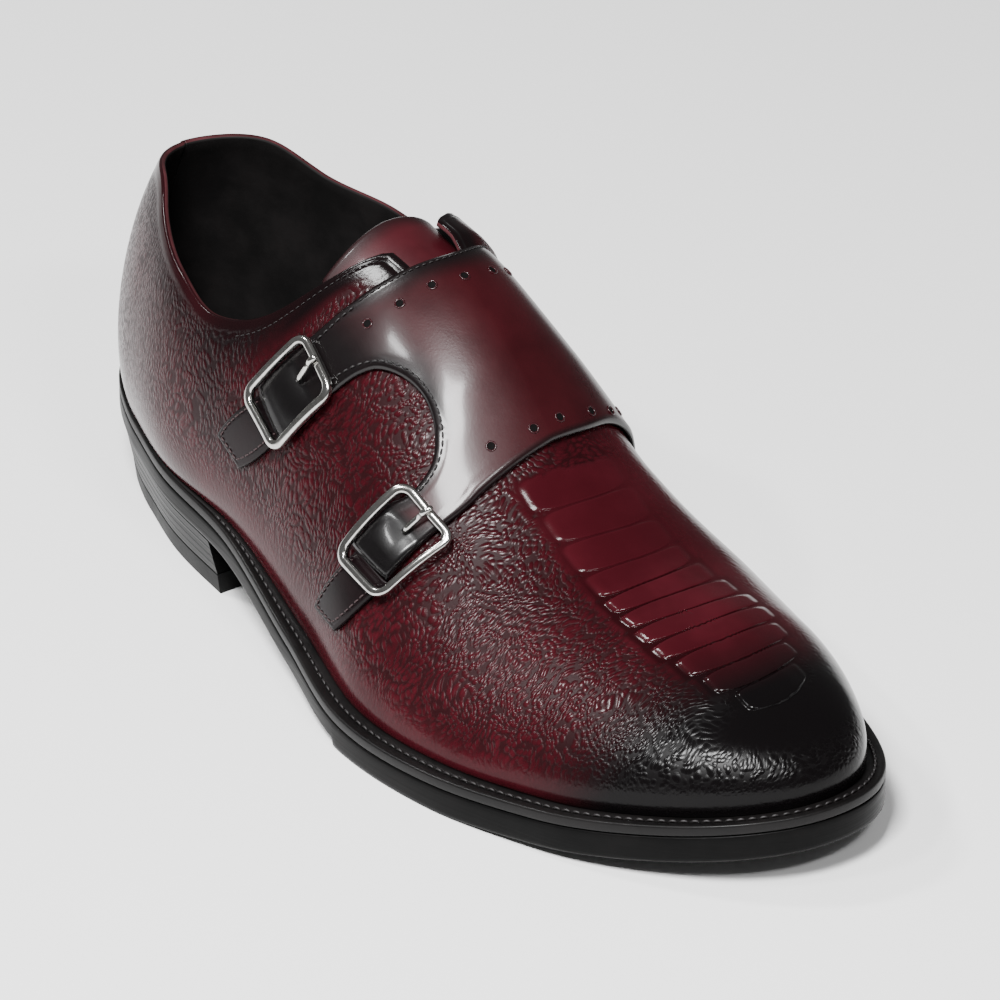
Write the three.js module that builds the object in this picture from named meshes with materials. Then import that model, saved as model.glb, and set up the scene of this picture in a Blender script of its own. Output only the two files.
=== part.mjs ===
// Double monk strap shoe for the right foot, in millimetres, +Z up.
// +X runs from heel to toe, +Y is the medial side and the floor is the plane z = 0.
import * as THREE from 'three';

// Driving sizes
const soleLength = 295;
const ballWidth = 118;
const seatHeight = 30.5;
const instepHeight = 104;
const collarHeight = 86.5;

// Thicknesses
const wall = 1.8;
const weltThickness = 3;
const foreSoleThickness = 7.6;
const waistSoleThickness = 5.8;
const topLiftThickness = 6;
const insoleRise = 2.2;
const tongueThickness = 2;
const tongueRearGap = 0.9;
const tongueFrontGap = 1.5;
const strapThickness = 1.8;

// Clearance between neighbouring pieces
const gap = 0.3;
const curvedGap = 0.4;

// The upper stands this far inside the edge of the welt, at the heel and at the forepart.
const heelLedge = 1.3;
const foreLedge = 5.1;

// Outline of the welt. along: share of the sole length from the heel; centre and half:
// centre line and half width as shares of the ball width; top: height as a share of the seat height.
const soleRows = [
  { along: 0.0, centre: 0.0, half: 0.2, top: 1.01 },
  { along: 0.08, centre: -0.01, half: 0.217, top: 0.937 },
  { along: 0.2, centre: -0.018, half: 0.295, top: 0.887 },
  { along: 0.33, centre: -0.04, half: 0.319, top: 0.835 },
  { along: 0.46, centre: -0.044, half: 0.38, top: 0.51 },
  { along: 0.58, centre: -0.022, half: 0.473, top: 0.352 },
  { along: 0.7, centre: 0.008, half: 0.487, top: 0.352 },
  { along: 0.82, centre: 0.021, half: 0.413, top: 0.425 },
  { along: 0.92, centre: 0.046, half: 0.35, top: 0.555 },
  { along: 1.0, centre: 0.078, half: 0.317, top: 0.69 },
];
const heelRound = { share: 0.12, power: 2 };
const toeRound = { share: 0.19, power: 2.17 };

// Crest line of the last. height: share of the instep height; offset: share of the ball width.
const crestRows = [
  { along: 0.18, height: 1.17, offset: 0.045 },
  { along: 0.28, height: 1.095, offset: 0.057 },
  { along: 0.36, height: 1.04, offset: 0.064 },
  { along: 0.44, height: 0.997, offset: 0.067 },
  { along: 0.52, height: 0.868, offset: 0.068 },
  { along: 0.6, height: 0.65, offset: 0.069 },
  { along: 0.7, height: 0.485, offset: 0.07 },
  { along: 0.8, height: 0.438, offset: 0.071 },
];

// Side walls of the last. lateral and medial: exponent of the section; bulge: share of the ball width.
const wallRows = [
  { along: 0.0, lateral: 1.9, medial: 1.9, bulge: 0.0 },
  { along: 0.08, lateral: 1.53, medial: 2.1, bulge: 0.065 },
  { along: 0.2, lateral: 1.47, medial: 2.17, bulge: 0.088 },
  { along: 0.4, lateral: 1.56, medial: 2.45, bulge: 0.043 },
  { along: 0.6, lateral: 1.48, medial: 2.12, bulge: 0.024 },
  { along: 0.8, lateral: 1.65, medial: 2.3, bulge: 0.031 },
  { along: 1.0, lateral: 2.6, medial: 2.75, bulge: 0.01 },
];

// Height of the collar edge on both sides, as shares of the collar height.
const collarRows = [
  { along: 0.0, lateral: 1.01, medial: 1.01 },
  { along: 0.06, lateral: 1.065, medial: 1.02 },
  { along: 0.13, lateral: 1.014, medial: 0.952 },
  { along: 0.2, lateral: 0.963, medial: 0.955 },
  { along: 0.27, lateral: 0.915, medial: 0.99 },
  { along: 0.33, lateral: 0.99, medial: 1.09 },
  { along: 0.38, lateral: 1.18, medial: 1.22 },
  { along: 0.42, lateral: 1.3, medial: 1.3 },
];

// The crest line stops short of the heel and of the toe, where the sections turn in a fan.
const toeFan = { start: 0.617, end: 0.965, stop: 0.774 };
const heelFan = { start: 0.317, end: 0.013, stop: 0.197 };
const fanSnap = 0.6;

// Throat slot, closed ahead of its end: climb of its edges in degrees.
const throat = { end: 0.53, lateral: 78, medial: 80, rounding: 7 };

// Mesh density
const halfTurns = 52;
const outerRings = 12;
const innerRings = 10;
const step = 0.004;

const clamp = THREE.MathUtils.clamp;
const lerp = THREE.MathUtils.lerp;
const radians = THREE.MathUtils.degToRad;

function smoothCurve(rows, column, scale) {
  const at = rows.map((row) => row.along);
  const value = rows.map((row) => row[column] * scale);
  const slopes = at.slice(1).map((x, i) => (value[i + 1] - value[i]) / (x - at[i]));
  const tangents = at.map((x, i) => {
    if (i === 0) return slopes[0];
    if (i === at.length - 1) return slopes[i - 1];
    const before = x - at[i - 1];
    const after = at[i + 1] - x;
    return (slopes[i - 1] * after + slopes[i] * before) / (before + after);
  });
  return (x) => {
    let i = 0;
    while (i < at.length - 2 && x > at[i + 1]) i += 1;
    const width = at[i + 1] - at[i];
    const t = clamp((x - at[i]) / width, 0, 1);
    const t2 = t * t;
    const t3 = t2 * t;
    return (2 * t3 - 3 * t2 + 1) * value[i] + (t3 - 2 * t2 + t) * width * tangents[i]
      + (3 * t2 - 2 * t3) * value[i + 1] + (t3 - t2) * width * tangents[i + 1];
  };
}

const centreAt = smoothCurve(soleRows, 'centre', ballWidth);
const halfAt = smoothCurve(soleRows, 'half', ballWidth);
const topAt = smoothCurve(soleRows, 'top', seatHeight);
const crestHeightAt = smoothCurve(crestRows, 'height', instepHeight);
const crestOffsetAt = smoothCurve(crestRows, 'offset', ballWidth);
const lateralFullnessAt = smoothCurve(wallRows, 'lateral', 1);
const medialFullnessAt = smoothCurve(wallRows, 'medial', 1);
const bulgeAt = smoothCurve(wallRows, 'bulge', ballWidth);
const lateralCollarAt = smoothCurve(collarRows, 'lateral', collarHeight);
const medialCollarAt = smoothCurve(collarRows, 'medial', collarHeight);

const fullnessAt = (turn, share) => (turn < 0 ? lateralFullnessAt(share) : medialFullnessAt(share));

// A turn of 0 is the back of the heel and of pi the tip of the toe; the lateral side is negative.
const shareAt = (turn) => (1 - Math.cos(turn)) / 2;
const turnAt = (share, side) => side * Math.acos(1 - 2 * share);
const sideOf = (turn) => (Math.sin(turn) < 0 ? -1 : 1);

function endRounding(share) {
  if (share < heelRound.share) {
    const back = 1 - share / heelRound.share;
    return Math.sqrt(Math.max(0, 1 - back ** heelRound.power));
  }
  if (share > 1 - toeRound.share) {
    const ahead = (share - 1) / toeRound.share + 1;
    return Math.max(0, 1 - ahead ** toeRound.power) ** (1 / toeRound.power);
  }
  return 1;
}

function edgePoint(turn) {
  const share = shareAt(turn);
  const y = centreAt(share) + sideOf(turn) * halfAt(share) * endRounding(share);
  return new THREE.Vector2(share * soleLength, y);
}

// Point of the outline moved inwards, level with the floor.
function insetPoint(turn, inset) {
  const before = edgePoint(turn - step);
  const after = edgePoint(turn + step);
  const outward = new THREE.Vector2(before.y - after.y, after.x - before.x).normalize();
  return edgePoint(turn).addScaledVector(outward, -inset);
}

const ledgeRows = [
  { along: 0.0, ledge: heelLedge },
  { along: 0.2, ledge: heelLedge },
  { along: 0.45, ledge: foreLedge },
  { along: 1.0, ledge: foreLedge },
];
const ledgeAt = smoothCurve(ledgeRows, 'ledge', 1);

function easedStop(share, fan) {
  const power = (fan.end - fan.start) / (fan.stop - fan.start);
  const reach = clamp((share - fan.start) / (fan.end - fan.start), 0, 1);
  if (reach === 0) return share;
  return fan.start + (fan.stop - fan.start) * (1 - (1 - reach) ** power);
}

function crestShareAt(share) {
  const eased = easedStop(easedStop(share, toeFan), heelFan);
  return Math.abs(eased - toeFan.stop) * soleLength < fanSnap ? toeFan.stop : eased;
}

function crestAt(share) {
  const x = crestShareAt(share);
  const rise = crestHeightAt(x + step) - crestHeightAt(x - step);
  return {
    point: new THREE.Vector3(x * soleLength, crestOffsetAt(x), crestHeightAt(x)),
    slope: rise / (2 * step * soleLength),
  };
}

function featherAt(turn) {
  const share = shareAt(turn);
  const foot = insetPoint(turn, ledgeAt(share));
  const footShare = clamp(foot.x / soleLength, 0, 1);
  const outward = insetPoint(turn, ledgeAt(share) - 1).sub(foot);
  return { foot, footShare, outward, base: topAt(footShare) };
}

// Outside of the last: a climb of 0 is the feather line and of half pi the crest.
function lastPoint(turn, climb) {
  const { foot, footShare, outward, base } = featherAt(turn);
  const crest = crestAt(shareAt(turn));
  const power = 2 / fullnessAt(turn, footShare);
  const open = Math.cos(climb) ** power;
  const lift = Math.sin(climb) ** power;
  const bulge = bulgeAt(footShare) * Math.sin(2 * climb);
  const tilt = crest.slope * (foot.x - crest.point.x) * open * lift;
  return new THREE.Vector3(
    lerp(crest.point.x, foot.x, open) + outward.x * bulge,
    lerp(crest.point.y, foot.y, open) + outward.y * bulge,
    lerp(base, crest.point.z, lift) + tilt,
  );
}

function lastNormal(turn, climb) {
  if (climb > Math.PI / 2 - step) {
    return new THREE.Vector3(-crestAt(shareAt(turn)).slope, 0, 1).normalize();
  }
  const low = Math.max(0, climb - step);
  const along = lastPoint(turn + step, climb).sub(lastPoint(turn - step, climb));
  const up = lastPoint(turn, climb + step).sub(lastPoint(turn, low));
  return up.cross(along).normalize();
}

// Point at a distance from the outside of the upper, which stands a gap above the welt.
function upperPoint(turn, climb, distance) {
  const point = lastPoint(turn, climb).addScaledVector(lastNormal(turn, climb), distance);
  point.z += gap;
  return point;
}

// Climb at which the section has come to a given height.
function climbToHeight(turn, height) {
  const { footShare, base } = featherAt(turn);
  const top = crestAt(shareAt(turn)).point.z;
  const lift = clamp((height - base) / (top - base), 0, 1);
  return Math.asin(lift ** (fullnessAt(turn, footShare) / 2));
}

const isClosed = (share) => share >= throat.end;

function rimClimb(turn) {
  const share = shareAt(turn);
  if (isClosed(share)) return Math.PI / 2;
  const lateral = turn < 0;
  const collar = climbToHeight(turn, lateral ? lateralCollarAt(share) : medialCollarAt(share));
  const facing = radians(lateral ? throat.lateral : throat.medial);
  const rounding = radians(throat.rounding);
  const blend = clamp(0.5 + (facing - collar) / (2 * rounding), 0, 1);
  return lerp(facing, collar, blend) - rounding * blend * (1 - blend);
}

// Closed meshes. Points that agree in the third decimal are one vertex.
const keyScale = 1000;

class Faces {
  constructor() {
    this.keys = new Map();
    this.points = [];
    this.triangles = [];
  }

  vertex(point) {
    const key = point.toArray().map((value) => Math.round(value * keyScale)).join(' ');
    if (!this.keys.has(key)) {
      this.keys.set(key, this.points.length);
      this.points.push(point);
    }
    return this.keys.get(key);
  }

  triangle(a, b, c) {
    const corners = [a, b, c].map((point) => this.vertex(point));
    if (new Set(corners).size === 3) this.triangles.push(corners);
  }

  quad(a, b, c, d) {
    if (a.distanceTo(c) < b.distanceTo(d)) {
      this.triangle(a, b, c);
      this.triangle(a, c, d);
    } else {
      this.triangle(a, b, d);
      this.triangle(b, c, d);
    }
  }

  // Strip between two rows of points of the same count.
  strip(one, two) {
    for (let i = 0; i < one.length - 1; i += 1) this.quad(one[i], one[i + 1], two[i + 1], two[i]);
  }

  sheet(rows) {
    for (let i = 0; i < rows.length - 1; i += 1) this.strip(rows[i], rows[i + 1]);
  }

  geometry() {
    const volume = this.triangles.reduce((sum, [a, b, c]) => {
      const [p, q, r] = [this.points[a], this.points[b], this.points[c]];
      return sum + p.dot(q.clone().cross(r));
    }, 0);
    const order = this.triangles.map(([a, b, c]) => (volume < 0 ? [a, c, b] : [a, b, c]));
    const geometry = new THREE.BufferGeometry();
    const flat = this.points.flatMap((point) => point.toArray());
    geometry.setAttribute('position', new THREE.Float32BufferAttribute(flat, 3));
    geometry.setIndex(order.flat());
    geometry.computeVertexNormals();
    return geometry;
  }
}

const closeLoop = (ring) => [...ring, ring[0]];

// Joins two lists of matching sheets into one solid, with walls along the free edges.
function closeSheets(faces, outer, inner) {
  const pairs = new Map();
  outer.forEach((sheet, k) => sheet.forEach((points, i) => points.forEach((point, j) => {
    pairs.set(faces.vertex(point), inner[k][i][j]);
  })));
  outer.forEach((sheet) => faces.sheet(sheet));
  const edges = faces.triangles.flatMap(([a, b, c]) => [[a, b], [b, c], [c, a]]);
  const used = new Set(edges.map(([a, b]) => `${a} ${b}`));
  const free = edges.filter(([a, b]) => !used.has(`${b} ${a}`));
  faces.triangles.slice().forEach((corners) => {
    const [a, b, c] = corners.map((corner) => pairs.get(corner));
    faces.triangle(a, c, b);
  });
  free.forEach(([a, b]) => faces.quad(faces.points[b], faces.points[a], pairs.get(a), pairs.get(b)));
}

function fullTurns() {
  return Array.from({ length: 2 * halfTurns }, (unused, i) => {
    const turn = (Math.PI * i) / halfTurns;
    return i <= halfTurns ? turn : turn - 2 * Math.PI;
  });
}

function buildUpper() {
  const faces = new Faces();
  const turns = closeLoop(fullTurns());
  const column = (turn, rings, distance) => Array.from({ length: rings + 1 }, (unused, j) => {
    const climb = (rimClimb(turn) * j) / rings;
    if (j === 0) {
      const { foot, outward, base } = featherAt(turn);
      return new THREE.Vector3(foot.x + outward.x * distance, foot.y + outward.y * distance, base + gap);
    }
    return upperPoint(turn, climb, distance);
  });
  const outer = turns.map((turn) => column(turn, outerRings, 0));
  const inner = turns.map((turn) => column(turn, innerRings, -wall));
  faces.sheet(outer);
  faces.sheet(inner.map((points) => [...points].reverse()));
  for (let i = 0; i < turns.length - 1; i += 1) {
    const next = i + 1;
    faces.quad(inner[i][0], outer[i][0], outer[next][0], inner[next][0]);
    if (isClosed(shareAt(turns[i])) && isClosed(shareAt(turns[next]))) continue;
    const [outerEnd, innerEnd] = [outerRings, innerRings];
    faces.quad(outer[i][outerEnd], inner[i][innerEnd], inner[next][innerEnd], outer[next][outerEnd]);
  }
  return faces.geometry();
}

// Solid between level rings. A closed ring starts at the heel, an open one at the lateral corner.
function buildStack(rings, closed) {
  const faces = new Faces();
  const loops = rings.map(closeLoop);
  for (let i = 0; i < loops.length - 1; i += 1) faces.strip(loops[i], loops[i + 1]);
  const cap = (ring, flip) => {
    const count = ring.length;
    const offset = closed ? 0 : -1;
    for (let i = 0; i < Math.floor(count / 2); i += 1) {
      const one = [ring[i], ring[i + 1]];
      const two = [ring[(count - i + offset) % count], ring[(count - i - 1 + offset) % count]];
      if (flip) faces.quad(one[0], two[0], two[1], one[1]);
      else faces.quad(one[0], one[1], two[1], two[0]);
    }
  };
  cap(rings[0], true);
  cap(rings[rings.length - 1], false);
  return faces.geometry();
}

const levelPoint = (turn, inset, heightAt) => {
  const plan = insetPoint(turn, inset);
  return new THREE.Vector3(plan.x, plan.y, heightAt(clamp(plan.x / soleLength, 0, 1)));
};

// Outsole
const halfSoleStep = 0.57;
const stepLength = 0.0016;
const edgeRound = { height: 0.9, inset: 0.9, side: 0.225 };
const outsoleTopAt = (share) => topAt(share) - weltThickness - gap;

function outsoleBottomAt(share) {
  const into = clamp((share - halfSoleStep) / stepLength + 0.5, 0, 1);
  const thickness = lerp(waistSoleThickness, foreSoleThickness, into);
  return Math.max(0, outsoleTopAt(share) - thickness);
}

function soleTurns() {
  const edges = [halfSoleStep - stepLength / 2, halfSoleStep + stepLength / 2];
  const extra = edges.flatMap((share) => [turnAt(share, 1), turnAt(share, -1)]);
  const around = (turn) => (turn < 0 ? turn + 2 * Math.PI : turn);
  const near = (turn) => extra.some((other) => Math.abs(other - turn) < step * 4);
  const kept = fullTurns().filter((turn) => !near(turn));
  return [...kept, ...extra].sort((a, b) => around(a) - around(b));
}

function buildOutsole() {
  const turns = soleTurns();
  const ring = (inset, heightAt) => turns.map((turn) => levelPoint(turn, inset, heightAt));
  return buildStack([
    ring(edgeRound.inset, outsoleBottomAt),
    ring(edgeRound.side, (share) => outsoleBottomAt(share) + edgeRound.height),
    ring(0, (share) => (outsoleBottomAt(share) + outsoleTopAt(share)) / 2 + edgeRound.height / 2),
    ring(0, outsoleTopAt),
  ], true);
}

// Welt
const weltRound = 0.5;
const weltHole = wall + gap / 6;

function buildWelt() {
  const faces = new Faces();
  const turns = closeLoop(fullTurns());
  const under = (share) => topAt(share) - weltThickness;
  const outer = (inset, heightAt) => turns.map((turn) => levelPoint(turn, inset, heightAt));
  const inner = (heightAt) => turns.map((turn) => (
    levelPoint(turn, ledgeAt(shareAt(turn)) + weltHole, heightAt)));
  const rings = [
    outer(0, under),
    outer(0, (share) => topAt(share) - weltRound),
    outer(weltRound, topAt),
    inner(topAt),
    inner(under),
  ];
  faces.sheet([...rings, rings[0]]);
  return faces.geometry();
}

// Insole
function buildInsole() {
  const inset = (turn) => ledgeAt(shareAt(turn)) + weltHole + gap;
  const ring = (extra, heightAt) => fullTurns().map((turn) => (
    levelPoint(turn, inset(turn) + extra, heightAt)));
  return buildStack([
    ring(0, (share) => topAt(share) - weltThickness),
    ring(0, (share) => topAt(share) + insoleRise / 2),
    ring(insoleRise / 2, (share) => topAt(share) + insoleRise),
  ], true);
}

// Heel
const breastShare = 0.29;
const heelTurns = 24;
const heelInset = { top: 0.6, lift: 3.2, floor: 3.9 };
const liftEdge = 0.5;

function heelRing(inset, heightAt) {
  const limit = turnAt(breastShare, 1);
  return Array.from({ length: heelTurns + 1 }, (unused, i) => {
    const turn = lerp(-limit, limit, i / heelTurns);
    return levelPoint(turn, inset, heightAt);
  });
}

function buildHeelBlock() {
  const under = (share) => outsoleBottomAt(share) - gap;
  return buildStack([
    heelRing(heelInset.lift, () => topLiftThickness + gap),
    heelRing(heelInset.top, under),
  ], false);
}

function buildTopLift() {
  return buildStack([
    heelRing(heelInset.floor + liftEdge, () => 0),
    heelRing(heelInset.floor, () => liftEdge),
    heelRing(heelInset.lift, () => topLiftThickness),
  ], false);
}

// Tongue. lateral and medial: climb of its side edges in degrees.
const tongue = { start: 0.35, end: 0.57, lengthSteps: 16, acrossSteps: 12 };
const tongueRows = [
  { along: 0.0, lateral: 62, medial: 66 },
  { along: 0.1, lateral: 58, medial: 64 },
  { along: 1.0, lateral: 58, medial: 64 },
];
const tongueLateralAt = smoothCurve(tongueRows, 'lateral', 1);
const tongueMedialAt = smoothCurve(tongueRows, 'medial', 1);

function buildTongue() {
  const faces = new Faces();
  const row = (i, distance) => {
    const part = i / tongue.lengthSteps;
    const share = lerp(tongue.start, tongue.end, part);
    return Array.from({ length: tongue.acrossSteps + 1 }, (unused, j) => {
      const across = (2 * j) / tongue.acrossSteps - 1;
      const edge = across < 0 ? tongueLateralAt(part) : tongueMedialAt(part);
      const turn = turnAt(share, across < 0 ? -1 : 1);
      const climb = radians(lerp(90, edge, Math.abs(across)));
      return upperPoint(turn, climb, distance);
    });
  };
  const rows = (depth) => Array.from({ length: tongue.lengthSteps + 1 }, (unused, i) => {
    const space = lerp(tongueRearGap, tongueFrontGap, i / tongue.lengthSteps);
    return row(i, -wall - space - depth);
  });
  closeSheets(faces, [rows(0)], [rows(tongueThickness)]);
  return faces.geometry();
}

// Strap over the instep. along: degrees over the section from the lateral to the medial feather line;
// rear and front: edges as shares of the sole length.
const strapRows = [
  { along: 63, rear: 0.4035, front: 0.589 },
  { along: 76, rear: 0.4215, front: 0.59 },
  { along: 90, rear: 0.432, front: 0.589 },
  { along: 104, rear: 0.424, front: 0.585 },
  { along: 118, rear: 0.404, front: 0.575 },
  { along: 136, rear: 0.374, front: 0.562 },
  { along: 148, rear: 0.353, front: 0.551 },
  { along: 161, rear: 0.325, front: 0.541 },
];
const rearArmRows = [
  { along: 36.9, rear: 0.3565, front: 0.4045 },
  { along: 44, rear: 0.3715, front: 0.4225 },
  { along: 50, rear: 0.3815, front: 0.437 },
  { along: 55, rear: 0.391, front: 0.45 },
  { along: 59, rear: 0.397, front: 0.465 },
  { along: 63, rear: 0.4035, front: 0.49 },
];
const frontArmRows = [
  { along: 36.6, rear: 0.5265, front: 0.57 },
  { along: 46, rear: 0.5385, front: 0.577 },
  { along: 53, rear: 0.5485, front: 0.5845 },
  { along: 58, rear: 0.5465, front: 0.588 },
  { along: 61, rear: 0.54, front: 0.589 },
  { along: 63, rear: 0.533, front: 0.589 },
];
const strapFace = curvedGap + strapThickness;
const strap = { bodySteps: 18, armSteps: 9, rearCells: 4, archCells: 3, frontCells: 4 };
// The ends of the arms are square to their buckles: degrees from their rear to their front corner.
const armSkew = { rear: -4.1, front: 2.4 };

function sectionPoint(share, degrees, distance) {
  const lateral = degrees < 90;
  const climb = radians(lateral ? degrees : 180 - degrees);
  return upperPoint(turnAt(share, lateral ? -1 : 1), climb, distance);
}

// Sheet between the rear and front edges of a table. cells: places across, as parts of the width.
function strapSheet(rows, steps, cells, distance, skew) {
  const rearAt = smoothCurve(rows, 'rear', 1);
  const frontAt = smoothCurve(rows, 'front', 1);
  return Array.from({ length: steps + 1 }, (unused, i) => {
    const degrees = lerp(rows[0].along, rows.at(-1).along, i / steps);
    return cells.map((part) => sectionPoint(
      lerp(rearAt(degrees), frontAt(degrees), part),
      degrees + skew * (part - 0.5) * (1 - i / steps),
      distance,
    ));
  });
}

function buildStrap() {
  const faces = new Faces();
  const even = (count) => Array.from({ length: count + 1 }, (unused, i) => i / count);
  const top = strapRows[0];
  const width = top.front - top.rear;
  const archRear = (rearArmRows.at(-1).front - top.rear) / width;
  const archFront = (frontArmRows.at(-1).rear - top.rear) / width;
  const bodyCells = [
    ...even(strap.rearCells).map((part) => part * archRear),
    ...even(strap.archCells).slice(1).map((part) => lerp(archRear, archFront, part)),
    ...even(strap.frontCells).slice(1).map((part) => lerp(archFront, 1, part)),
  ];
  const sheets = (distance) => [
    strapSheet(strapRows, strap.bodySteps, bodyCells, distance, 0),
    strapSheet(rearArmRows, strap.armSteps, even(strap.rearCells), distance, armSkew.rear),
    strapSheet(frontArmRows, strap.armSteps, even(strap.frontCells), distance, armSkew.front),
  ];
  closeSheets(faces, sheets(strapFace), sheets(curvedGap));
  return faces.geometry();
}

// Each buckle follows the lateral side, with its tab below it. share and climb: its middle;
// lean: degrees by which its length runs back towards the heel on the way down.
const rearBuckle = { share: 0.392, climb: 42, lean: 27 };
const frontBuckle = { share: 0.559, climb: 42.3, lean: 17 };
const buckle = { width: 18.9, length: 23.8, corner: 3.5, bar: 1.25, sides: 8, cornerSteps: 4, sideSteps: 3 };
const barHeight = strapFace + gap + buckle.bar;

// Turns a place across and up from the middle of a buckle into a point over the upper.
function placeOn(seat) {
  const turn = turnAt(seat.share, -1);
  const climb = radians(seat.climb);
  const perTurn = lastPoint(turn + step, climb).sub(lastPoint(turn - step, climb)).divideScalar(2 * step);
  const perClimb = lastPoint(turn, climb + step).sub(lastPoint(turn, climb - step)).divideScalar(2 * step);
  const normal = lastNormal(turn, climb);
  const up = perClimb.clone().normalize().applyAxisAngle(normal, -radians(seat.lean));
  const across = up.clone().cross(normal);
  const flatten = new THREE.Matrix4().makeBasis(perTurn, perClimb, normal).invert();
  return (x, y, distance) => {
    const move = across.clone().multiplyScalar(x).addScaledVector(up, y).applyMatrix4(flatten);
    return upperPoint(turn + move.x, climb + move.y, distance);
  };
}

// Rounded rectangle as places with the direction that points outwards.
function buckleLoop() {
  const { width, length, corner, cornerSteps, sideSteps } = buckle;
  const places = [];
  for (let side = 0; side < 4; side += 1) {
    const signX = side === 0 || side === 3 ? 1 : -1;
    const signY = side < 2 ? 1 : -1;
    const centre = { x: signX * (width / 2 - corner), y: signY * (length / 2 - corner) };
    for (let i = 0; i <= cornerSteps; i += 1) {
      const angle = (Math.PI / 2) * (side + i / cornerSteps);
      const out = { x: Math.cos(angle), y: Math.sin(angle) };
      places.push({ x: centre.x + corner * out.x, y: centre.y + corner * out.y, out });
    }
  }
  return places.flatMap((place, i) => {
    if (i % (cornerSteps + 1) !== cornerSteps) return [place];
    const next = places[(i + 1) % places.length];
    const between = Array.from({ length: sideSteps - 1 }, (unused, k) => (k + 1) / sideSteps);
    return [place, ...between.map((part) => ({
      x: lerp(place.x, next.x, part),
      y: lerp(place.y, next.y, part),
      out: place.out,
    }))];
  });
}

function buildBuckle(seat) {
  const faces = new Faces();
  const pointAt = placeOn(seat);
  const ring = ({ x, y, out }) => Array.from({ length: buckle.sides }, (unused, j) => {
    const angle = (2 * Math.PI * j) / buckle.sides;
    const reach = buckle.bar * Math.cos(angle);
    return pointAt(x + out.x * reach, y + out.y * reach, barHeight + buckle.bar * Math.sin(angle));
  });
  faces.sheet(closeLoop(buckleLoop()).map((place) => closeLoop(ring(place))));
  return faces.geometry();
}

// The tab starts below the end of the arm, passes under the lower bar and runs back towards the
// heel by its skew. along: share of its length on the way down; half: half width as a share of its width.
const tab = { width: 14.2, thickness: 1.6, start: 8.2, reach: 17, skew: 0.25, steps: 8, cells: 4 };
const tabRows = [
  { along: 0.0, half: 0.5 },
  { along: 0.875, half: 0.49 },
  { along: 1.0, half: 0.45 },
];
const tabHalfAt = smoothCurve(tabRows, 'half', tab.width);

function buildTab(seat) {
  const faces = new Faces();
  const pointAt = placeOn(seat);
  const length = buckle.length / 2 + buckle.bar + tab.reach - tab.start;
  const sheet = (distance) => Array.from({ length: tab.steps + 1 }, (unused, i) => {
    const along = i / tab.steps;
    const down = along * length;
    return Array.from({ length: tab.cells + 1 }, (none, j) => {
      const across = (2 * j) / tab.cells - 1;
      return pointAt(across * tabHalfAt(along) - tab.skew * down, -tab.start - down, distance);
    });
  });
  closeSheets(faces, [sheet(curvedGap + tab.thickness)], [sheet(curvedGap)]);
  return faces.geometry();
}

// The prong rises from the strap and bends over the upper bar.
const prong = { radius: 0.8, hole: 4, sides: 8, first: 140, last: 55, bendSteps: 4 };

function buildProng(seat) {
  const faces = new Faces();
  const pointAt = placeOn(seat);
  const reach = buckle.bar + gap + prong.radius;
  const path = [{ y: prong.hole, height: strapFace + gap + prong.radius }];
  for (let i = 0; i <= prong.bendSteps; i += 1) {
    const angle = radians(lerp(prong.first, prong.last, i / prong.bendSteps));
    path.push({
      y: buckle.length / 2 + reach * Math.cos(angle),
      height: barHeight + reach * Math.sin(angle),
    });
  }
  const ring = (place, i) => {
    const before = path[Math.max(0, i - 1)];
    const after = path[Math.min(path.length - 1, i + 1)];
    const slope = Math.atan2(after.height - before.height, after.y - before.y);
    return Array.from({ length: prong.sides }, (unused, j) => {
      const angle = (2 * Math.PI * j) / prong.sides;
      const rise = prong.radius * Math.sin(angle);
      return pointAt(prong.radius * Math.cos(angle), place.y - rise * Math.sin(slope),
        place.height + rise * Math.cos(slope));
    });
  };
  const rings = path.map(ring);
  faces.sheet(rings.map(closeLoop));
  for (let j = 1; j < prong.sides - 1; j += 1) {
    faces.triangle(rings[0][0], rings[0][j + 1], rings[0][j]);
    faces.triangle(rings.at(-1)[0], rings.at(-1)[j], rings.at(-1)[j + 1]);
  }
  return faces.geometry();
}

// Materials and assembly
function leather(color, roughness) {
  return new THREE.MeshStandardMaterial({ color, roughness, metalness: 0 });
}

const steel = () => new THREE.MeshStandardMaterial({ color: '#d9d9d6', roughness: 0.2, metalness: 1 });

const group = new THREE.Group();

function add(name, geometry, material) {
  const mesh = new THREE.Mesh(geometry, material);
  mesh.name = name;
  group.add(mesh);
}

add('upper', buildUpper(), leather('#4a1420', 0.45));
add('tongue', buildTongue(), leather('#4a1420', 0.5));
add('insole', buildInsole(), leather('#2b2a2b', 0.8));
add('welt', buildWelt(), leather('#141213', 0.5));
add('outsole', buildOutsole(), leather('#141313', 0.45));
add('heel_block', buildHeelBlock(), leather('#151414', 0.4));
add('heel_top_lift', buildTopLift(), leather('#101010', 0.6));
add('strap_overlay', buildStrap(), leather('#3c0f19', 0.4));
add('rear_tab', buildTab(rearBuckle), leather('#140f10', 0.45));
add('front_tab', buildTab(frontBuckle), leather('#140f10', 0.45));
add('rear_buckle', buildBuckle(rearBuckle), steel());
add('front_buckle', buildBuckle(frontBuckle), steel());
add('rear_prong', buildProng(rearBuckle), steel());
add('front_prong', buildProng(frontBuckle), steel());

// The origin is the middle of the bounding box on the floor.
const box = new THREE.Box3().setFromObject(group);
const middle = box.getCenter(new THREE.Vector3());
group.children.forEach((mesh) => mesh.geometry.translate(-middle.x, -middle.y, -box.min.z));

export default group;
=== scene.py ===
import math
import bmesh
import bpy
import numpy as np
from mathutils import Vector, Matrix
from mathutils.kdtree import KDTree


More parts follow.
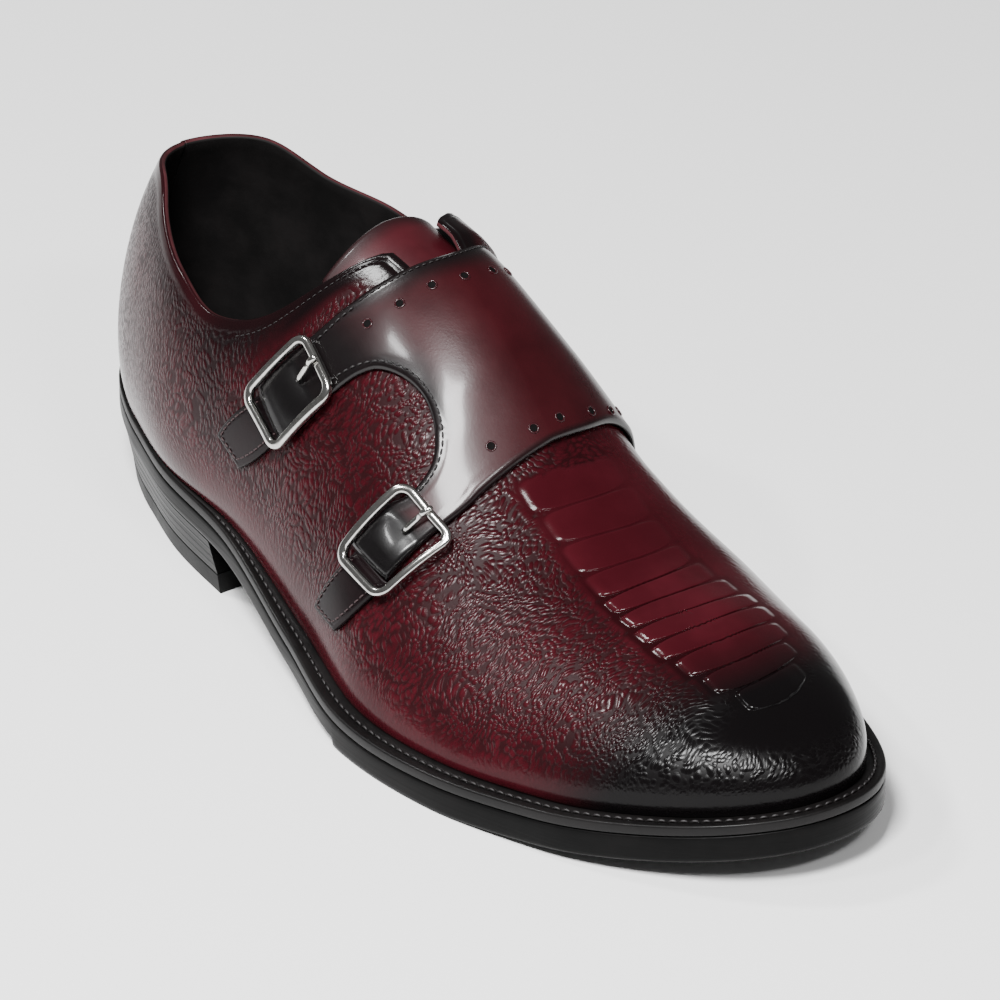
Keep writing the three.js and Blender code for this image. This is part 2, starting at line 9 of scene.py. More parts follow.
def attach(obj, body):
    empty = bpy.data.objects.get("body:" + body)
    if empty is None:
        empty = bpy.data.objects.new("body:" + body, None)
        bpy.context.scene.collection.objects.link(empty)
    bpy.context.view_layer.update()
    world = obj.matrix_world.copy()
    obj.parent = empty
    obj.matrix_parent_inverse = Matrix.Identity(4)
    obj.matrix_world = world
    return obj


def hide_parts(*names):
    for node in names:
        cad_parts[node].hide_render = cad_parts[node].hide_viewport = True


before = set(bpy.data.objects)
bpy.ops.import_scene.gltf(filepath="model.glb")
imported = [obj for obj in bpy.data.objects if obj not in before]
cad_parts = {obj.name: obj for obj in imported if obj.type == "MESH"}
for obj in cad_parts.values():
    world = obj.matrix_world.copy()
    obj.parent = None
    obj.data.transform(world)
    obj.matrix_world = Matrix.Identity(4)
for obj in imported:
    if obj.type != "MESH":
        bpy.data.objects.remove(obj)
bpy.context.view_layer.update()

MM = 0.001

# Sizes of the shoe, in millimetres
LENGTH, BALL, SEAT, INSTEP, COLLAR = 295.0, 118.0, 30.5, 104.0, 86.5
WALL, WELT, GAP, CURVED_GAP, STRAP = 1.8, 3.0, 0.3, 0.4, 1.8
SHIFT = np.array([-147.5, 0.2554, 0.0])
STEP = 0.004

# Share along the shoe, then centre line, half width and top, as parts of BALL, BALL and SEAT
SOLE_ROWS = [
    (0.0, 0.0, 0.2, 1.01), (0.08, -0.01, 0.217, 0.937), (0.2, -0.018, 0.295, 0.887),
    (0.33, -0.04, 0.319, 0.835), (0.46, -0.044, 0.38, 0.51), (0.58, -0.022, 0.473, 0.352),
    (0.7, 0.008, 0.487, 0.352), (0.82, 0.021, 0.413, 0.425), (0.92, 0.046, 0.35, 0.555),
    (1.0, 0.078, 0.317, 0.69)]
# Share along the shoe, then height and sideways place of the crest, as parts of INSTEP and BALL
CREST_ROWS = [
    (0.18, 1.17, 0.045), (0.28, 1.095, 0.057), (0.36, 1.04, 0.064), (0.44, 0.997, 0.067),
    (0.52, 0.868, 0.068), (0.6, 0.65, 0.069), (0.7, 0.485, 0.07), (0.8, 0.438, 0.071)]
# Share along the shoe, then lateral fullness, medial fullness and bulge as a part of BALL
WALL_ROWS = [
    (0.0, 1.9, 1.9, 0.0), (0.08, 1.53, 2.1, 0.065), (0.2, 1.47, 2.17, 0.088),
    (0.4, 1.56, 2.45, 0.043), (0.6, 1.48, 2.12, 0.024), (0.8, 1.65, 2.3, 0.031),
    (1.0, 2.6, 2.75, 0.01)]
# Share along the shoe, then lateral and medial height of the collar, as parts of COLLAR
COLLAR_ROWS = [
    (0.0, 1.01, 1.01), (0.06, 1.065, 1.02), (0.13, 1.014, 0.952), (0.2, 0.963, 0.955),
    (0.27, 0.915, 0.99), (0.33, 0.99, 1.09), (0.38, 1.18, 1.22), (0.42, 1.3, 1.3)]
# Share along the shoe and width of the welt outside the upper
LEDGE_ROWS = [(0.0, 1.3), (0.2, 1.3), (0.45, 5.1), (1.0, 5.1)]
# Start, end and stop of the places where the sections fan round the toe and the heel
TOE_FAN, HEEL_FAN = (0.617, 0.965, 0.774), (0.317, 0.013, 0.197)
THROAT_END, THROAT_LATERAL, THROAT_MEDIAL, THROAT_ROUND = 0.53, 78, 80, 7

# Degrees across the section from the lateral foot, then share of the rear and of the front edge
STRAP_ROWS = [
    (63, 0.4035, 0.589), (76, 0.4215, 0.59), (90, 0.432, 0.589), (104, 0.424, 0.585),
    (118, 0.404, 0.575), (136, 0.374, 0.562), (148, 0.353, 0.551), (161, 0.325, 0.541)]
REAR_ARM = [
    (36.9, 0.3565, 0.4045), (44, 0.3715, 0.4225), (50, 0.3815, 0.437), (55, 0.391, 0.45),
    (59, 0.397, 0.465), (63, 0.4035, 0.49)]
FRONT_ARM = [
    (36.6, 0.5265, 0.57), (46, 0.5385, 0.577), (53, 0.5485, 0.5845), (58, 0.5465, 0.588),
    (61, 0.54, 0.589), (63, 0.533, 0.589)]
ARM_SKEW = (-4.1, 2.4)
# Share, climb and lean of each buckle
REAR_BUCKLE, FRONT_BUCKLE = (0.392, 42, 27), (0.559, 42.3, 17)
BUCKLE_W, BUCKLE_L, BUCKLE_CORNER, BAR = 18.9, 23.8, 3.5, 1.25
STRAP_FACE = CURVED_GAP + STRAP
BAR_HEIGHT = STRAP_FACE + GAP + BAR


# The last, as in the part's source
def curve(rows, column, scale=1.0):
    """Smooth curve through one column of a table, over its first column."""
    at = np.array([row[0] for row in rows], float)
    value = np.array([row[column] for row in rows], float) * scale
    width = np.diff(at)
    slope = np.diff(value) / width
    tangent = np.empty_like(value)
    tangent[0], tangent[-1] = slope[0], slope[-1]
    tangent[1:-1] = (slope[:-1] * width[1:] + slope[1:] * width[:-1]) / (width[:-1] + width[1:])

    def read(x):
        x = np.asarray(x, float)
        i = np.clip(np.searchsorted(at, x, side="left") - 1, 0, len(at) - 2)
        t = np.clip((x - at[i]) / width[i], 0, 1)
        t2, t3 = t * t, t * t * t
        return ((2 * t3 - 3 * t2 + 1) * value[i] + (t3 - 2 * t2 + t) * width[i] * tangent[i]
                + (3 * t2 - 2 * t3) * value[i + 1] + (t3 - t2) * width[i] * tangent[i + 1])
    return read


centre_at, half_at = curve(SOLE_ROWS, 1, BALL), curve(SOLE_ROWS, 2, BALL)
top_at = curve(SOLE_ROWS, 3, SEAT)
crest_z, crest_y = curve(CREST_ROWS, 1, INSTEP), curve(CREST_ROWS, 2, BALL)
full_lat, full_med, bulge_at = curve(WALL_ROWS, 1), curve(WALL_ROWS, 2), curve(WALL_ROWS, 3, BALL)
collar_lat, collar_med = curve(COLLAR_ROWS, 1, COLLAR), curve(COLLAR_ROWS, 2, COLLAR)
ledge_at = curve(LEDGE_ROWS, 1)


def share_at(turn):
    """Share along the shoe, 0 at the heel and 1 at the toe, of a turn round it."""
    return (1 - np.cos(turn)) / 2


def turn_at(share, side):
    """Turn at a share; side is -1 for lateral and 1 for medial."""
    return side * np.arccos(np.clip(1 - 2 * np.asarray(share, float), -1, 1))


def unit(v):
    return v / np.maximum(np.linalg.norm(v, axis=-1, keepdims=True), 1e-12)


def smooth(x, low, high):
    """Eased step from 0 at low to 1 at high."""
    t = np.clip((np.asarray(x, float) - low) / (high - low), 0, 1)
    return t * t * (3 - 2 * t)


def end_rounding(share):
    """Part of the half width left where the heel and the toe round off."""
    back = np.clip(1 - share / 0.12, 0, 1)
    ahead = np.clip((share - 1) / 0.19 + 1, 0, 1)
    heel = np.sqrt(np.maximum(0, 1 - back ** 2))
    toe = np.maximum(0, 1 - ahead ** 2.17) ** (1 / 2.17)
    return np.where(share < 0.12, heel, np.where(share > 0.81, toe, 1.0))


def edge_point(turn):
    """Plan point on the sole's edge."""
    share = share_at(turn)
    side = np.where(np.sin(turn) < 0, -1.0, 1.0)
    return np.stack([share * LENGTH, centre_at(share) + side * half_at(share) * end_rounding(share)], -1)


def inset_point(turn, inset):
    """Plan point at a distance inside the sole's edge."""
    before, after = edge_point(turn - STEP), edge_point(turn + STEP)
    out = unit(np.stack([before[..., 1] - after[..., 1], after[..., 0] - before[..., 0]], -1))
    return edge_point(turn) - out * np.asarray(inset, float)[..., None]


def eased_stop(share, fan):
    """Shares that slow down and stop, so that the sections fan."""
    start, end, stop = fan
    power = (end - start) / (stop - start)
    reach = np.clip((share - start) / (end - start), 0, 1)
    return np.where(reach == 0, share, start + (stop - start) * (1 - (1 - reach) ** power))


def crest_at(share):
    """Crest point of a section and the crest's slope there."""
    x = eased_stop(eased_stop(share, TOE_FAN), HEEL_FAN)
    x = np.where(np.abs(x - TOE_FAN[2]) * LENGTH < 0.6, TOE_FAN[2], x)
    slope = (crest_z(x + STEP) - crest_z(x - STEP)) / (2 * STEP * LENGTH)
    return np.stack([x * LENGTH, crest_y(x), crest_z(x)], -1), slope


def feather(turn):
    """Foot of the wall, its share, the outward direction and the level it stands on."""
    share = share_at(turn)
    foot = inset_point(turn, ledge_at(share))
    foot_share = np.clip(foot[..., 0] / LENGTH, 0, 1)
    return foot, foot_share, inset_point(turn, ledge_at(share) - 1) - foot, top_at(foot_share)


def fullness(turn, share):
    """The wall's fullness; the two sides meet evenly at the toe."""
    lateral, medial = full_lat(share), full_med(share)
    even_out = smooth(share, 0.93, 1.0) * (medial - lateral) / 2
    return np.where(turn < 0, lateral + even_out, medial - even_out)


def last_point(turn, climb):
    """Point of the last; climb runs from 0 at the foot to a quarter turn at the crest."""
    turn, climb = np.broadcast_arrays(np.asarray(turn, float), np.asarray(climb, float))
    foot, foot_share, out, base = feather(turn)
    crest, slope = crest_at(share_at(turn))
    power = 2 / fullness(turn, foot_share)
    opened, lift = np.cos(climb) ** power, np.abs(np.sin(climb)) ** power
    bulge = bulge_at(foot_share) * np.sin(2 * climb)
    tilt = slope * (foot[..., 0] - crest[..., 0]) * opened * lift
    return np.stack([
        crest[..., 0] + (foot[..., 0] - crest[..., 0]) * opened + out[..., 0] * bulge,
        crest[..., 1] + (foot[..., 1] - crest[..., 1]) * opened + out[..., 1] * bulge,
        base + (crest[..., 2] - base) * lift + tilt], -1)


def last_normal(turn, climb):
    """Outward normal of the last."""
    turn, climb = np.broadcast_arrays(np.asarray(turn, float), np.asarray(climb, float))
    top = climb > math.pi / 2 - STEP
    mid = np.where(top, math.pi / 4, climb)
    along = last_point(turn + STEP, mid) - last_point(turn - STEP, mid)
    up = last_point(turn, mid + STEP) - last_point(turn, np.maximum(0, mid - STEP))
    normal = unit(np.cross(up, along))
    slope = crest_at(share_at(turn))[1]
    crest = unit(np.stack([-slope, np.zeros_like(slope), np.ones_like(slope)], -1))
    return np.where(top[..., None], crest, normal)


def upper_point(turn, climb, distance):
    """Point at a distance outside the last, in mm of the row frame."""
    point = last_point(turn, climb) + last_normal(turn, climb) * np.asarray(distance, float)[..., None]
    return point + np.array([0, 0, GAP]) + SHIFT


def rim_climb(turn):
    """Climb at which the collar and the facings end."""
    share = share_at(turn)
    _, foot_share, _, base = feather(turn)
    top = crest_at(share)[0][..., 2]
    height = np.where(turn < 0, collar_lat(share), collar_med(share))
    lift = np.clip((height - base) / (top - base), 0, 1)
    collar = np.arcsin(lift ** (fullness(turn, foot_share) / 2))
    facing = np.radians(np.where(turn < 0, THROAT_LATERAL, THROAT_MEDIAL))
    rounding = math.radians(THROAT_ROUND)
    blend = np.clip(0.5 + (facing - collar) / (2 * rounding), 0, 1)
    rim = facing + (collar - facing) * blend - rounding * blend * (1 - blend)
    return np.where(share >= THROAT_END - 1e-9, math.pi / 2, rim)


def section_place(share, degrees):
    """Turn and climb of a place across a section, counted in degrees from its lateral foot."""
    share, degrees = np.broadcast_arrays(np.asarray(share, float), np.asarray(degrees, float))
    lateral = degrees < 90
    climb = np.radians(np.where(lateral, degrees, 180 - degrees))
    return turn_at(share, np.where(lateral, -1.0, 1.0)), climb


def section_point(share, degrees, distance):
    """Point at a distance outside the last, across a section."""
    return upper_point(*section_place(share, degrees), distance)


def section_normal(share, degrees):
    """Normal of the last, across a section."""
    return last_normal(*section_place(share, degrees))


# Mesh helpers
def unique_points(verts):
    """First index of each point that is no repeat, and the new index of every point."""
    keys = np.round(verts * 2000).astype(np.int64)
    _, first, back = np.unique(keys, axis=0, return_index=True, return_inverse=True)
    return first, back.reshape(-1)


def build_mesh(name, verts, faces, marks=None, merge=True, kinds=None):
    """Object from verts in mm, faces, marks {attribute: value per vertex} and material kinds per face."""
    verts = np.asarray(verts, float)
    marks = dict(marks or {})
    if merge:
        first, back = unique_points(verts)
        verts = verts[first]
        marks = {key: np.asarray(value)[first] for key, value in marks.items()}
        clean, kept = [], []
        for number, face in enumerate(faces):
            ring = []
            for index in back[np.asarray(face)]:
                if index not in ring:
                    ring.append(int(index))
            if len(ring) > 2:
                clean.append(ring)
                kept.append(number)
        faces = clean
        kinds = kinds and [kinds[number] for number in kept]
    mesh = bpy.data.meshes.new(name)
    mesh.from_pydata((verts * MM).tolist(), [], [list(map(int, face)) for face in faces])
    for key, value in marks.items():
        layer = mesh.attributes.new(key, "FLOAT", "POINT")
        layer.data.foreach_set("value", np.asarray(value, np.float32))
    if kinds:
        mesh.polygons.foreach_set("material_index", kinds)
    else:
        mesh.validate()
    mesh.polygons.foreach_set("use_smooth", [True] * len(mesh.polygons))
    mesh.update()
    obj = bpy.data.objects.new(name, mesh)
    bpy.context.scene.collection.objects.link(obj)
    return obj


def grid_faces(rows, columns, start=0, flip=False):
    """Quads of a grid of points."""
    i, j = np.meshgrid(np.arange(rows - 1), np.arange(columns - 1), indexing="ij")
    a = start + i * columns + j
    quad = np.stack([a, a + 1, a + columns + 1, a + columns], -1).reshape(-1, 4)
    return quad[:, ::-1] if flip else quad


def ring_faces(rows, columns, wrap_rows=False):
    """Quads between rows of closed rings; wrap_rows joins the last row to the first."""
    faces = []
    for i in range(rows if wrap_rows else rows - 1):
        m = (i + 1) % rows
        for j in range(columns):
            k = (j + 1) % columns
            faces.append([i * columns + j, i * columns + k, m * columns + k, m * columns + j])
    return faces


def leaf(outer, inner):
    """Verts and faces of a leaf between two grids of the same shape."""
    rows, width = outer.shape[:2]
    count = rows * width
    faces = [list(f) for f in grid_faces(rows, width)]
    faces += [list(f) for f in grid_faces(rows, width, count, True)]
    border = list(range(width))
    border += [i * width + width - 1 for i in range(1, rows)]
    border += [(rows - 1) * width + j for j in range(width - 2, -1, -1)]
    border += [i * width for i in range(rows - 2, 0, -1)]
    for a, b in zip(border, border[1:] + border[:1]):
        faces.append([b, a, a + count, b + count])
    return np.concatenate([outer.reshape(-1, 3), inner.reshape(-1, 3)]), faces


def finish_piece(obj, material, nodes=()):
    """Leather or metal of a piece, its root and the part's nodes it stands for."""
    for one in material if isinstance(material, (list, tuple)) else [material]:
        obj.data.materials.append(one)
    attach(obj, "root")
    if nodes:
        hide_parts(*nodes)


def outward(obj):
    """Turns all faces outwards."""
    mesh = obj.data
    bm = bmesh.new()
    bm.from_mesh(mesh)
    bmesh.ops.recalc_face_normals(bm, faces=bm.faces)
    bm.to_mesh(mesh)
    bm.free()
    mesh.update()


def tube(path, radius, sides, normals, closed=False):
    """Verts and faces of a tube along a path in mm."""
    path = np.asarray(path, float)
    count = len(path)
    if closed:
        direction = unit(np.roll(path, -1, 0) - np.roll(path, 1, 0))
    else:
        direction = unit(np.gradient(path, axis=0))
    side = unit(np.cross(direction, normals))
    up = unit(np.cross(side, direction))
    angle = np.linspace(0, 2 * math.pi, sides, endpoint=False)
    radius = np.broadcast_to(np.asarray(radius, float), (count,))
    ring = (side[:, None] * np.cos(angle)[None, :, None]
            + up[:, None] * np.sin(angle)[None, :, None]) * radius[:, None, None]
    verts = (path[:, None] + ring).reshape(-1, 3)
    faces = ring_faces(count, sides, closed)
    if not closed:
        faces.append(list(range(sides))[::-1])
        faces.append([(count - 1) * sides + j for j in range(sides)])
    return verts, faces


def join_parts(parts):
    """One list of verts and faces from several."""
    verts, faces, base = [], [], 0
    for v, f in parts:
        verts.append(v)
        faces += [[index + base for index in face] for face in f]
        base += len(v)
    return np.concatenate(verts), faces


def resample(path, pitch):
    """Points at about even steps of the pitch along a path."""
    path = np.asarray(path, float)
    run = np.concatenate([[0], np.cumsum(np.linalg.norm(np.diff(path, axis=0), axis=1))])
    count = max(2, int(round(run[-1] / pitch)) + 1)
    at = np.linspace(0, run[-1], count)
    return np.stack([np.interp(at, run, path[:, k]) for k in range(path.shape[1])], -1)


def stitch_row(name, path, normals, pitch, length, radius, material, lift=0.1):
    """One short thread per stitch, along a path in mm with its surface normals."""
    both = resample(np.concatenate([path, normals], 1), pitch)
    points, ups = both[:, :3], unit(both[:, 3:])
    middles = (points[1:] + points[:-1]) / 2
    ups = unit(ups[1:] + ups[:-1])
    directions = unit(points[1:] - points[:-1])
    parts = []
    rise = np.array([-0.35, 0.55, 0.8, 0.55, -0.35]) * radius
    thickness = np.array([0.55, 0.95, 1.0, 0.95, 0.55]) * radius
    for middle, up, direction in zip(middles, ups, directions):
        along = np.linspace(-0.5, 0.5, 5) * length
        line = middle + along[:, None] * direction + (lift + rise)[:, None] * up
        parts.append(tube(line, thickness, sides=6, normals=np.tile(up, (5, 1))))
    obj = build_mesh(name, *join_parts(parts), merge=False)
    finish_piece(obj, material)


# Node materials
class Shader:
    def __init__(self, name):
        self.material = bpy.data.materials.new(name)
        self.material.use_nodes = True
        self.tree = self.material.node_tree
        self.tree.nodes.clear()
        self.out = self.tree.nodes.new("ShaderNodeOutputMaterial")
        self.bsdf = self.tree.nodes.new("ShaderNodeBsdfPrincipled")
        self.tree.links.new(self.bsdf.outputs[0], self.out.inputs[0])

    def link(self, source, target):
        self.tree.links.new(source, target)

    def put(self, socket, value):
        if isinstance(value, bpy.types.NodeSocket):
            self.link(value, socket)
        else:
            socket.default_value = value

    def attribute(self, name):
        node = self.tree.nodes.new("ShaderNodeAttribute")
        node.attribute_name = name
        return node.outputs["Fac"]

    def coords(self, scale=(1, 1, 1), warp=None):
        place = self.tree.nodes.new("ShaderNodeTexCoord").outputs["Object"]
        if warp is not None:
            size, amount = warp
            noise = self.tree.nodes.new("ShaderNodeTexNoise")
            noise.inputs["Scale"].default_value = size
            noise.inputs["Detail"].default_value = 2
            self.link(place, noise.inputs["Vector"])
            shift = self.tree.nodes.new("ShaderNodeVectorMath")
            shift.operation = "MULTIPLY_ADD"
            self.link(noise.outputs["Color"], shift.inputs[0])
            shift.inputs[1].default_value = (amount,) * 3
            self.link(place, shift.inputs[2])
            place = shift.outputs[0]
        mapping = self.tree.nodes.new("ShaderNodeMapping")
        mapping.inputs["Scale"].default_value = scale
        self.link(place, mapping.inputs["Vector"])
        return mapping.outputs[0]

    def noise(self, vector, scale, detail=3, rough=0.5):
        node = self.tree.nodes.new("ShaderNodeTexNoise")
        node.inputs["Scale"].default_value = scale
        node.inputs["Detail"].default_value = detail
        node.inputs["Roughness"].default_value = rough
        self.link(vector, node.inputs["Vector"])
        return node.outputs["Fac"]

    def cells(self, vector, scale):
        node = self.tree.nodes.new("ShaderNodeTexVoronoi")
        node.feature = "F1"
        node.inputs["Scale"].default_value = scale
        self.link(vector, node.inputs["Vector"])
        return node.outputs["Distance"]

    def spread(self, value, low, high, to_low=0.0, to_high=1.0, eased=True):
        node = self.tree.nodes.new("ShaderNodeMapRange")
        node.interpolation_type = "SMOOTHSTEP" if eased else "LINEAR"
        self.put(node.inputs["Value"], value)
        node.inputs["From Min"].default_value = low
        node.inputs["From Max"].default_value = high
        node.inputs["To Min"].default_value = to_low
        node.inputs["To Max"].default_value = to_high
        return node.outputs["Result"]

    def math(self, operation, a, b=0.0, c=None):
        node = self.tree.nodes.new("ShaderNodeMath")
        node.operation = operation
        self.put(node.inputs[0], a)
        self.put(node.inputs[1], b)
        if c is not None:
            self.put(node.inputs[2], c)
        return node.outputs[0]

    def dome(self, distance):
        """1 at a cell's middle, falling like a ball's top to 0 at its edge."""
        fall = self.math("POWER", self.math("MULTIPLY", distance, 1.5), 2.0)
        return self.math("MAXIMUM", self.math("SUBTRACT", 1.0, fall), 0.0)

    def blend(self, factor, a, b):
        node = self.tree.nodes.new("ShaderNodeMix")
        self.put(node.inputs["Factor"], factor)
        self.put(node.inputs[2], a)
        self.put(node.inputs[3], b)
        return node.outputs[0]

    def mix(self, factor, a, b):
        node = self.tree.nodes.new("ShaderNodeMix")
        node.data_type = "RGBA"
        self.put(node.inputs["Factor"], factor)
        self.put(node.inputs[6], a)
        self.put(node.inputs[7], b)
        return node.outputs[2]

    def bump(self, height, strength, distance, normal=None):
        node = self.tree.nodes.new("ShaderNodeBump")
        self.put(node.inputs["Strength"], strength)
        node.inputs["Distance"].default_value = distance
        self.link(height, node.inputs["Height"])
        if normal is not None:
            self.link(normal, node.inputs["Normal"])
        return node.outputs[0]

    def surface(self, **values):
        for key, value in values.items():
            self.put(self.bsdf.inputs[key.replace("_", " ")], value)
        return self.material


def rgb(code):
    """Linear colour of a hex code."""
    values = [int(code[k:k + 2], 16) / 255 for k in (1, 3, 5)]
    return tuple(v / 12.92 if v <= 0.04045 else ((v + 0.055) / 1.055) ** 2.4 for v in values) + (1.0,)


# Linear colours of the dyed leather; the darkest wine is painted shade for the grooves
WINE = (0.027, 0.0026, 0.0046, 1)
# the lighter wine also serves as the painted highlight on the scales' rims
WINE_LIGHT = (0.044, 0.0048, 0.008, 1)
WINE_GROOVE_SHADE = (0.009, 0.0012, 0.0018, 1)
STRAP_WINE = (0.018, 0.0014, 0.0026, 1)
STRAP_WINE_LIGHT = (0.028, 0.0024, 0.0042, 1)
BLACK = (0.0026, 0.0021, 0.0023, 1)
# Pebbles of the grain and of the heel's finer grain, per metre, with their stretch along each axis
PEBBLE, PEBBLE_STRETCH = 950.0, (1.0, 0.58, 0.58)
FINE_PEBBLE, FINE_STRETCH = 1400.0, (1.0, 0.75, 0.45)
PEBBLE_RISE, SCALE_RISE = 0.00015, 0.0006


def pebbled_leather(name):
    s = Shader(name)
    burnish_and_shade, grain, fine = s.attribute("burnish_and_shade"), s.attribute("grain"), s.attribute("fine")
    number, across, scaled = s.attribute("scale_number"), s.attribute("scale_across"), s.attribute("scaled")
    coarse = s.dome(s.cells(s.coords(PEBBLE_STRETCH, (55.0, 0.012)), PEBBLE))
    small = s.dome(s.cells(s.coords(FINE_STRETCH, (70.0, 0.008)), FINE_PEBBLE))
    pebble = s.blend(fine, coarse, small)
    depth = s.math("MULTIPLY", grain, s.spread(fine, 0.0, 1.0, 1.0, 0.32, eased=False))
    cloud = s.noise(s.coords(), 26.0, 4, 0.6)
    base = s.mix(s.spread(cloud, 0.35, 0.7), WINE, WINE_LIGHT)
    # painted shade: the grooves between the pebbles are darkened towards the darkest wine
    groove = s.math("MULTIPLY", s.math("SUBTRACT", 1.0, pebble), grain)
    base = s.mix(s.math("MULTIPLY", groove, 0.85), base, WINE_GROOVE_SHADE)
    # each scale is a flat pillow with rounded ends between narrow grooves; painted shade darkens the grooves
    # and a painted highlight lightens each scale's rim
    along = s.math("ABSOLUTE", s.math("MULTIPLY_ADD", s.math("FRACT", number), 2.0, -1.0))
    side = s.math("ABSOLUTE", across)
    pillow = s.math("SUBTRACT", 1.0, s.math("ADD", s.math("POWER", along, 6.0), s.math("POWER", side, 4.0)))
    inside = s.math("MULTIPLY", s.spread(pillow, 0.0, 0.5), scaled)
    rim = s.math("MULTIPLY", s.spread(pillow, 0.1, 0.35), s.spread(pillow, 0.4, 0.75, 1.0, 0.0))
    rim = s.math("MULTIPLY", rim, scaled)
    trench_shade = s.math("MULTIPLY", s.spread(pillow, 0.02, 0.3, 1.0, 0.0), scaled)
    # painted highlight along each scale's rim, then painted shade in the groove round it
    base = s.mix(s.math("MULTIPLY", rim, 0.35), base, WINE_LIGHT)
    base = s.mix(s.math("MULTIPLY", trench_shade, 0.85), base, WINE_GROOVE_SHADE)
    # burnish darkens the base towards black; on the quarter and the back the same mask also holds painted
    # shade
    base = s.mix(burnish_and_shade, base, BLACK)
    ripple = s.bump(s.noise(s.coords(), 1100.0, 3, 0.6), 0.1, 0.0002)
    relief = s.bump(inside, 1.0, SCALE_RISE, ripple)
    normal = s.bump(pebble, depth, PEBBLE_RISE, relief)
    shine = s.spread(cloud, 0.3, 0.7, 0.12, 0.16, eased=False)
    rough = s.math("ADD", shine, s.math("MULTIPLY", groove, 0.25))
    return s.surface(Base_Color=base, Roughness=rough, Normal=normal, IOR=1.21)


def smooth_leather(name, wine=WINE, light=WINE_LIGHT, rough=0.25, coat=0.22):
    s = Shader(name)
    burnish_and_shade = s.attribute("burnish_and_shade")
    cloud = s.noise(s.coords(), 35.0, 4, 0.6)
    base = s.mix(s.spread(cloud, 0.3, 0.7), wine, light)
    base = s.mix(burnish_and_shade, base, BLACK)
    pores = s.bump(s.noise(s.coords(), 1500.0, 3, 0.7), 0.16, 0.00015)
    normal = s.bump(s.noise(s.coords(), 160.0, 2, 0.5), 0.05, 0.0006, pores)
    return s.surface(Base_Color=base, Roughness=s.spread(cloud, 0.3, 0.7, rough, rough + 0.09, eased=False),
                     Normal=normal, IOR=1.3, Coat_Weight=coat, Coat_Roughness=0.12)


def plain_leather(name, dark, light, rough, grain_size=700.0, grain=0.2, coat=0.1):
    s = Shader(name)
    cloud = s.noise(s.coords(), 60.0, 4, 0.6)
    base = s.mix(s.spread(cloud, 0.35, 0.7), dark, light)
    normal = s.bump(s.noise(s.coords(), grain_size, 4, 0.65), grain, 0.0003)
    return s.surface(Base_Color=base, Roughness=s.spread(cloud, 0.3, 0.7, rough, rough + 0.12, eased=False),
                     Normal=normal, IOR=1.22, Coat_Weight=coat, Coat_Roughness=0.2)


def sole_edge(name, dark, light, rough):
    s = Shader(name)
    place = s.coords(scale=(14.0, 14.0, 1600.0))
    lines = s.noise(place, 1.0, 3, 0.6)
    cloud = s.noise(s.coords(), 45.0, 3, 0.6)
    base = s.mix(s.spread(cloud, 0.3, 0.75), dark, light)
    normal = s.bump(lines, 0.25, 0.00025)
    return s.surface(Base_Color=base, Roughness=s.spread(lines, 0.3, 0.7, rough, rough + 0.15, eased=False),
                     Normal=normal, IOR=1.14)


def polished_metal(name):
    s = Shader(name)
    streak = s.noise(s.coords(), 500.0, 3, 0.6)
    base = s.mix(s.spread(streak, 0.35, 0.7), rgb("#c9c8c5"), rgb("#aeaca8"))
    normal = s.bump(streak, 0.05, 0.0001)
    return s.surface(Base_Color=base, Metallic=1.0, Normal=normal,
                     Roughness=s.spread(streak, 0.3, 0.7, 0.1, 0.18, eased=False))


def thread(name, dark, light):
    s = Shader(name)
    twist = s.noise(s.coords(), 3500.0, 2, 0.5)
    base = s.mix(twist, dark, light)
    return s.surface(Base_Color=base, Roughness=0.55, Normal=s.bump(twist, 0.4, 0.0001))


UPPER = pebbled_leather("grained_burgundy_leather")
STRAP_MAT = smooth_leather("smooth_burgundy_leather", STRAP_WINE, STRAP_WINE_LIGHT)
TONGUE_MAT = smooth_leather("tongue_leather", rough=0.36, coat=0.1)
LINING = plain_leather("black_lining_leather", rgb("#0d0c0c"), rgb("#151313"), 0.6, coat=0.0)
EDGE = plain_leather("collar_binding_leather", rgb("#2c1214"), rgb("#452226"), 0.45, grain=0.1)
INSOLE = plain_leather("insole_leather", rgb("#373536"), rgb("#464344"), 0.6, coat=0.0)
TAB = plain_leather("black_tab_leather", rgb("#0a0506"), rgb("#12090b"), 0.32, grain=0.12, coat=0.06)
SOLE = sole_edge("black_sole_edge", rgb("#080808"), rgb("#0f0e0e"), 0.32)
HEEL = sole_edge("black_heel_stack", rgb("#080808"), rgb("#0e0d0d"), 0.3)
LIFT = plain_leather("black_rubber", rgb("#080808"), rgb("#0d0d0d"), 0.5, grain=0.15, coat=0.0)
WELT_MAT = plain_leather("black_welt_leather", rgb("#080707"), rgb("#100e0e"), 0.45, grain=0.25)
METAL = polished_metal("polished_steel")
THREAD = thread("black_thread", rgb("#060405"), rgb("#150f10"))
THREAD_RED = thread("brown_thread", rgb("#170a0c"), rgb("#33171a"))
# painted shade seen inside the punched holes
HOLE_SHADE = plain_leather("hole_shade", rgb("#030202"), rgb("#050404"), 0.8, coat=0.0)
RIM = smooth_leather("hole_rim_leather", rough=0.2)


# Vamp scales and surface marks
# Grooves between the scales: place along the shoe at y = SCALE_LINE, slope, lateral end and
# medial end, in mm of the row frame
SCALE_LINE = 8.5
SCALES = [
    (30.7, 0.1, -7, 24), (39.4, 0.0, -4, 26), (48.6, 0.06, -5, 26), (58.2, 0.03, -5, 26),
    (66.6, -0.04, -5, 27), (73.9, 0.0, -6, 29), (81.6, 0.0, -6, 31), (88.6, -0.04, -8, 32),
    (96.3, -0.05, -7, 31), (105.1, -0.08, -5, 28), (113.6, -0.12, -3, 24), (122.6, -0.2, 2, 20)]


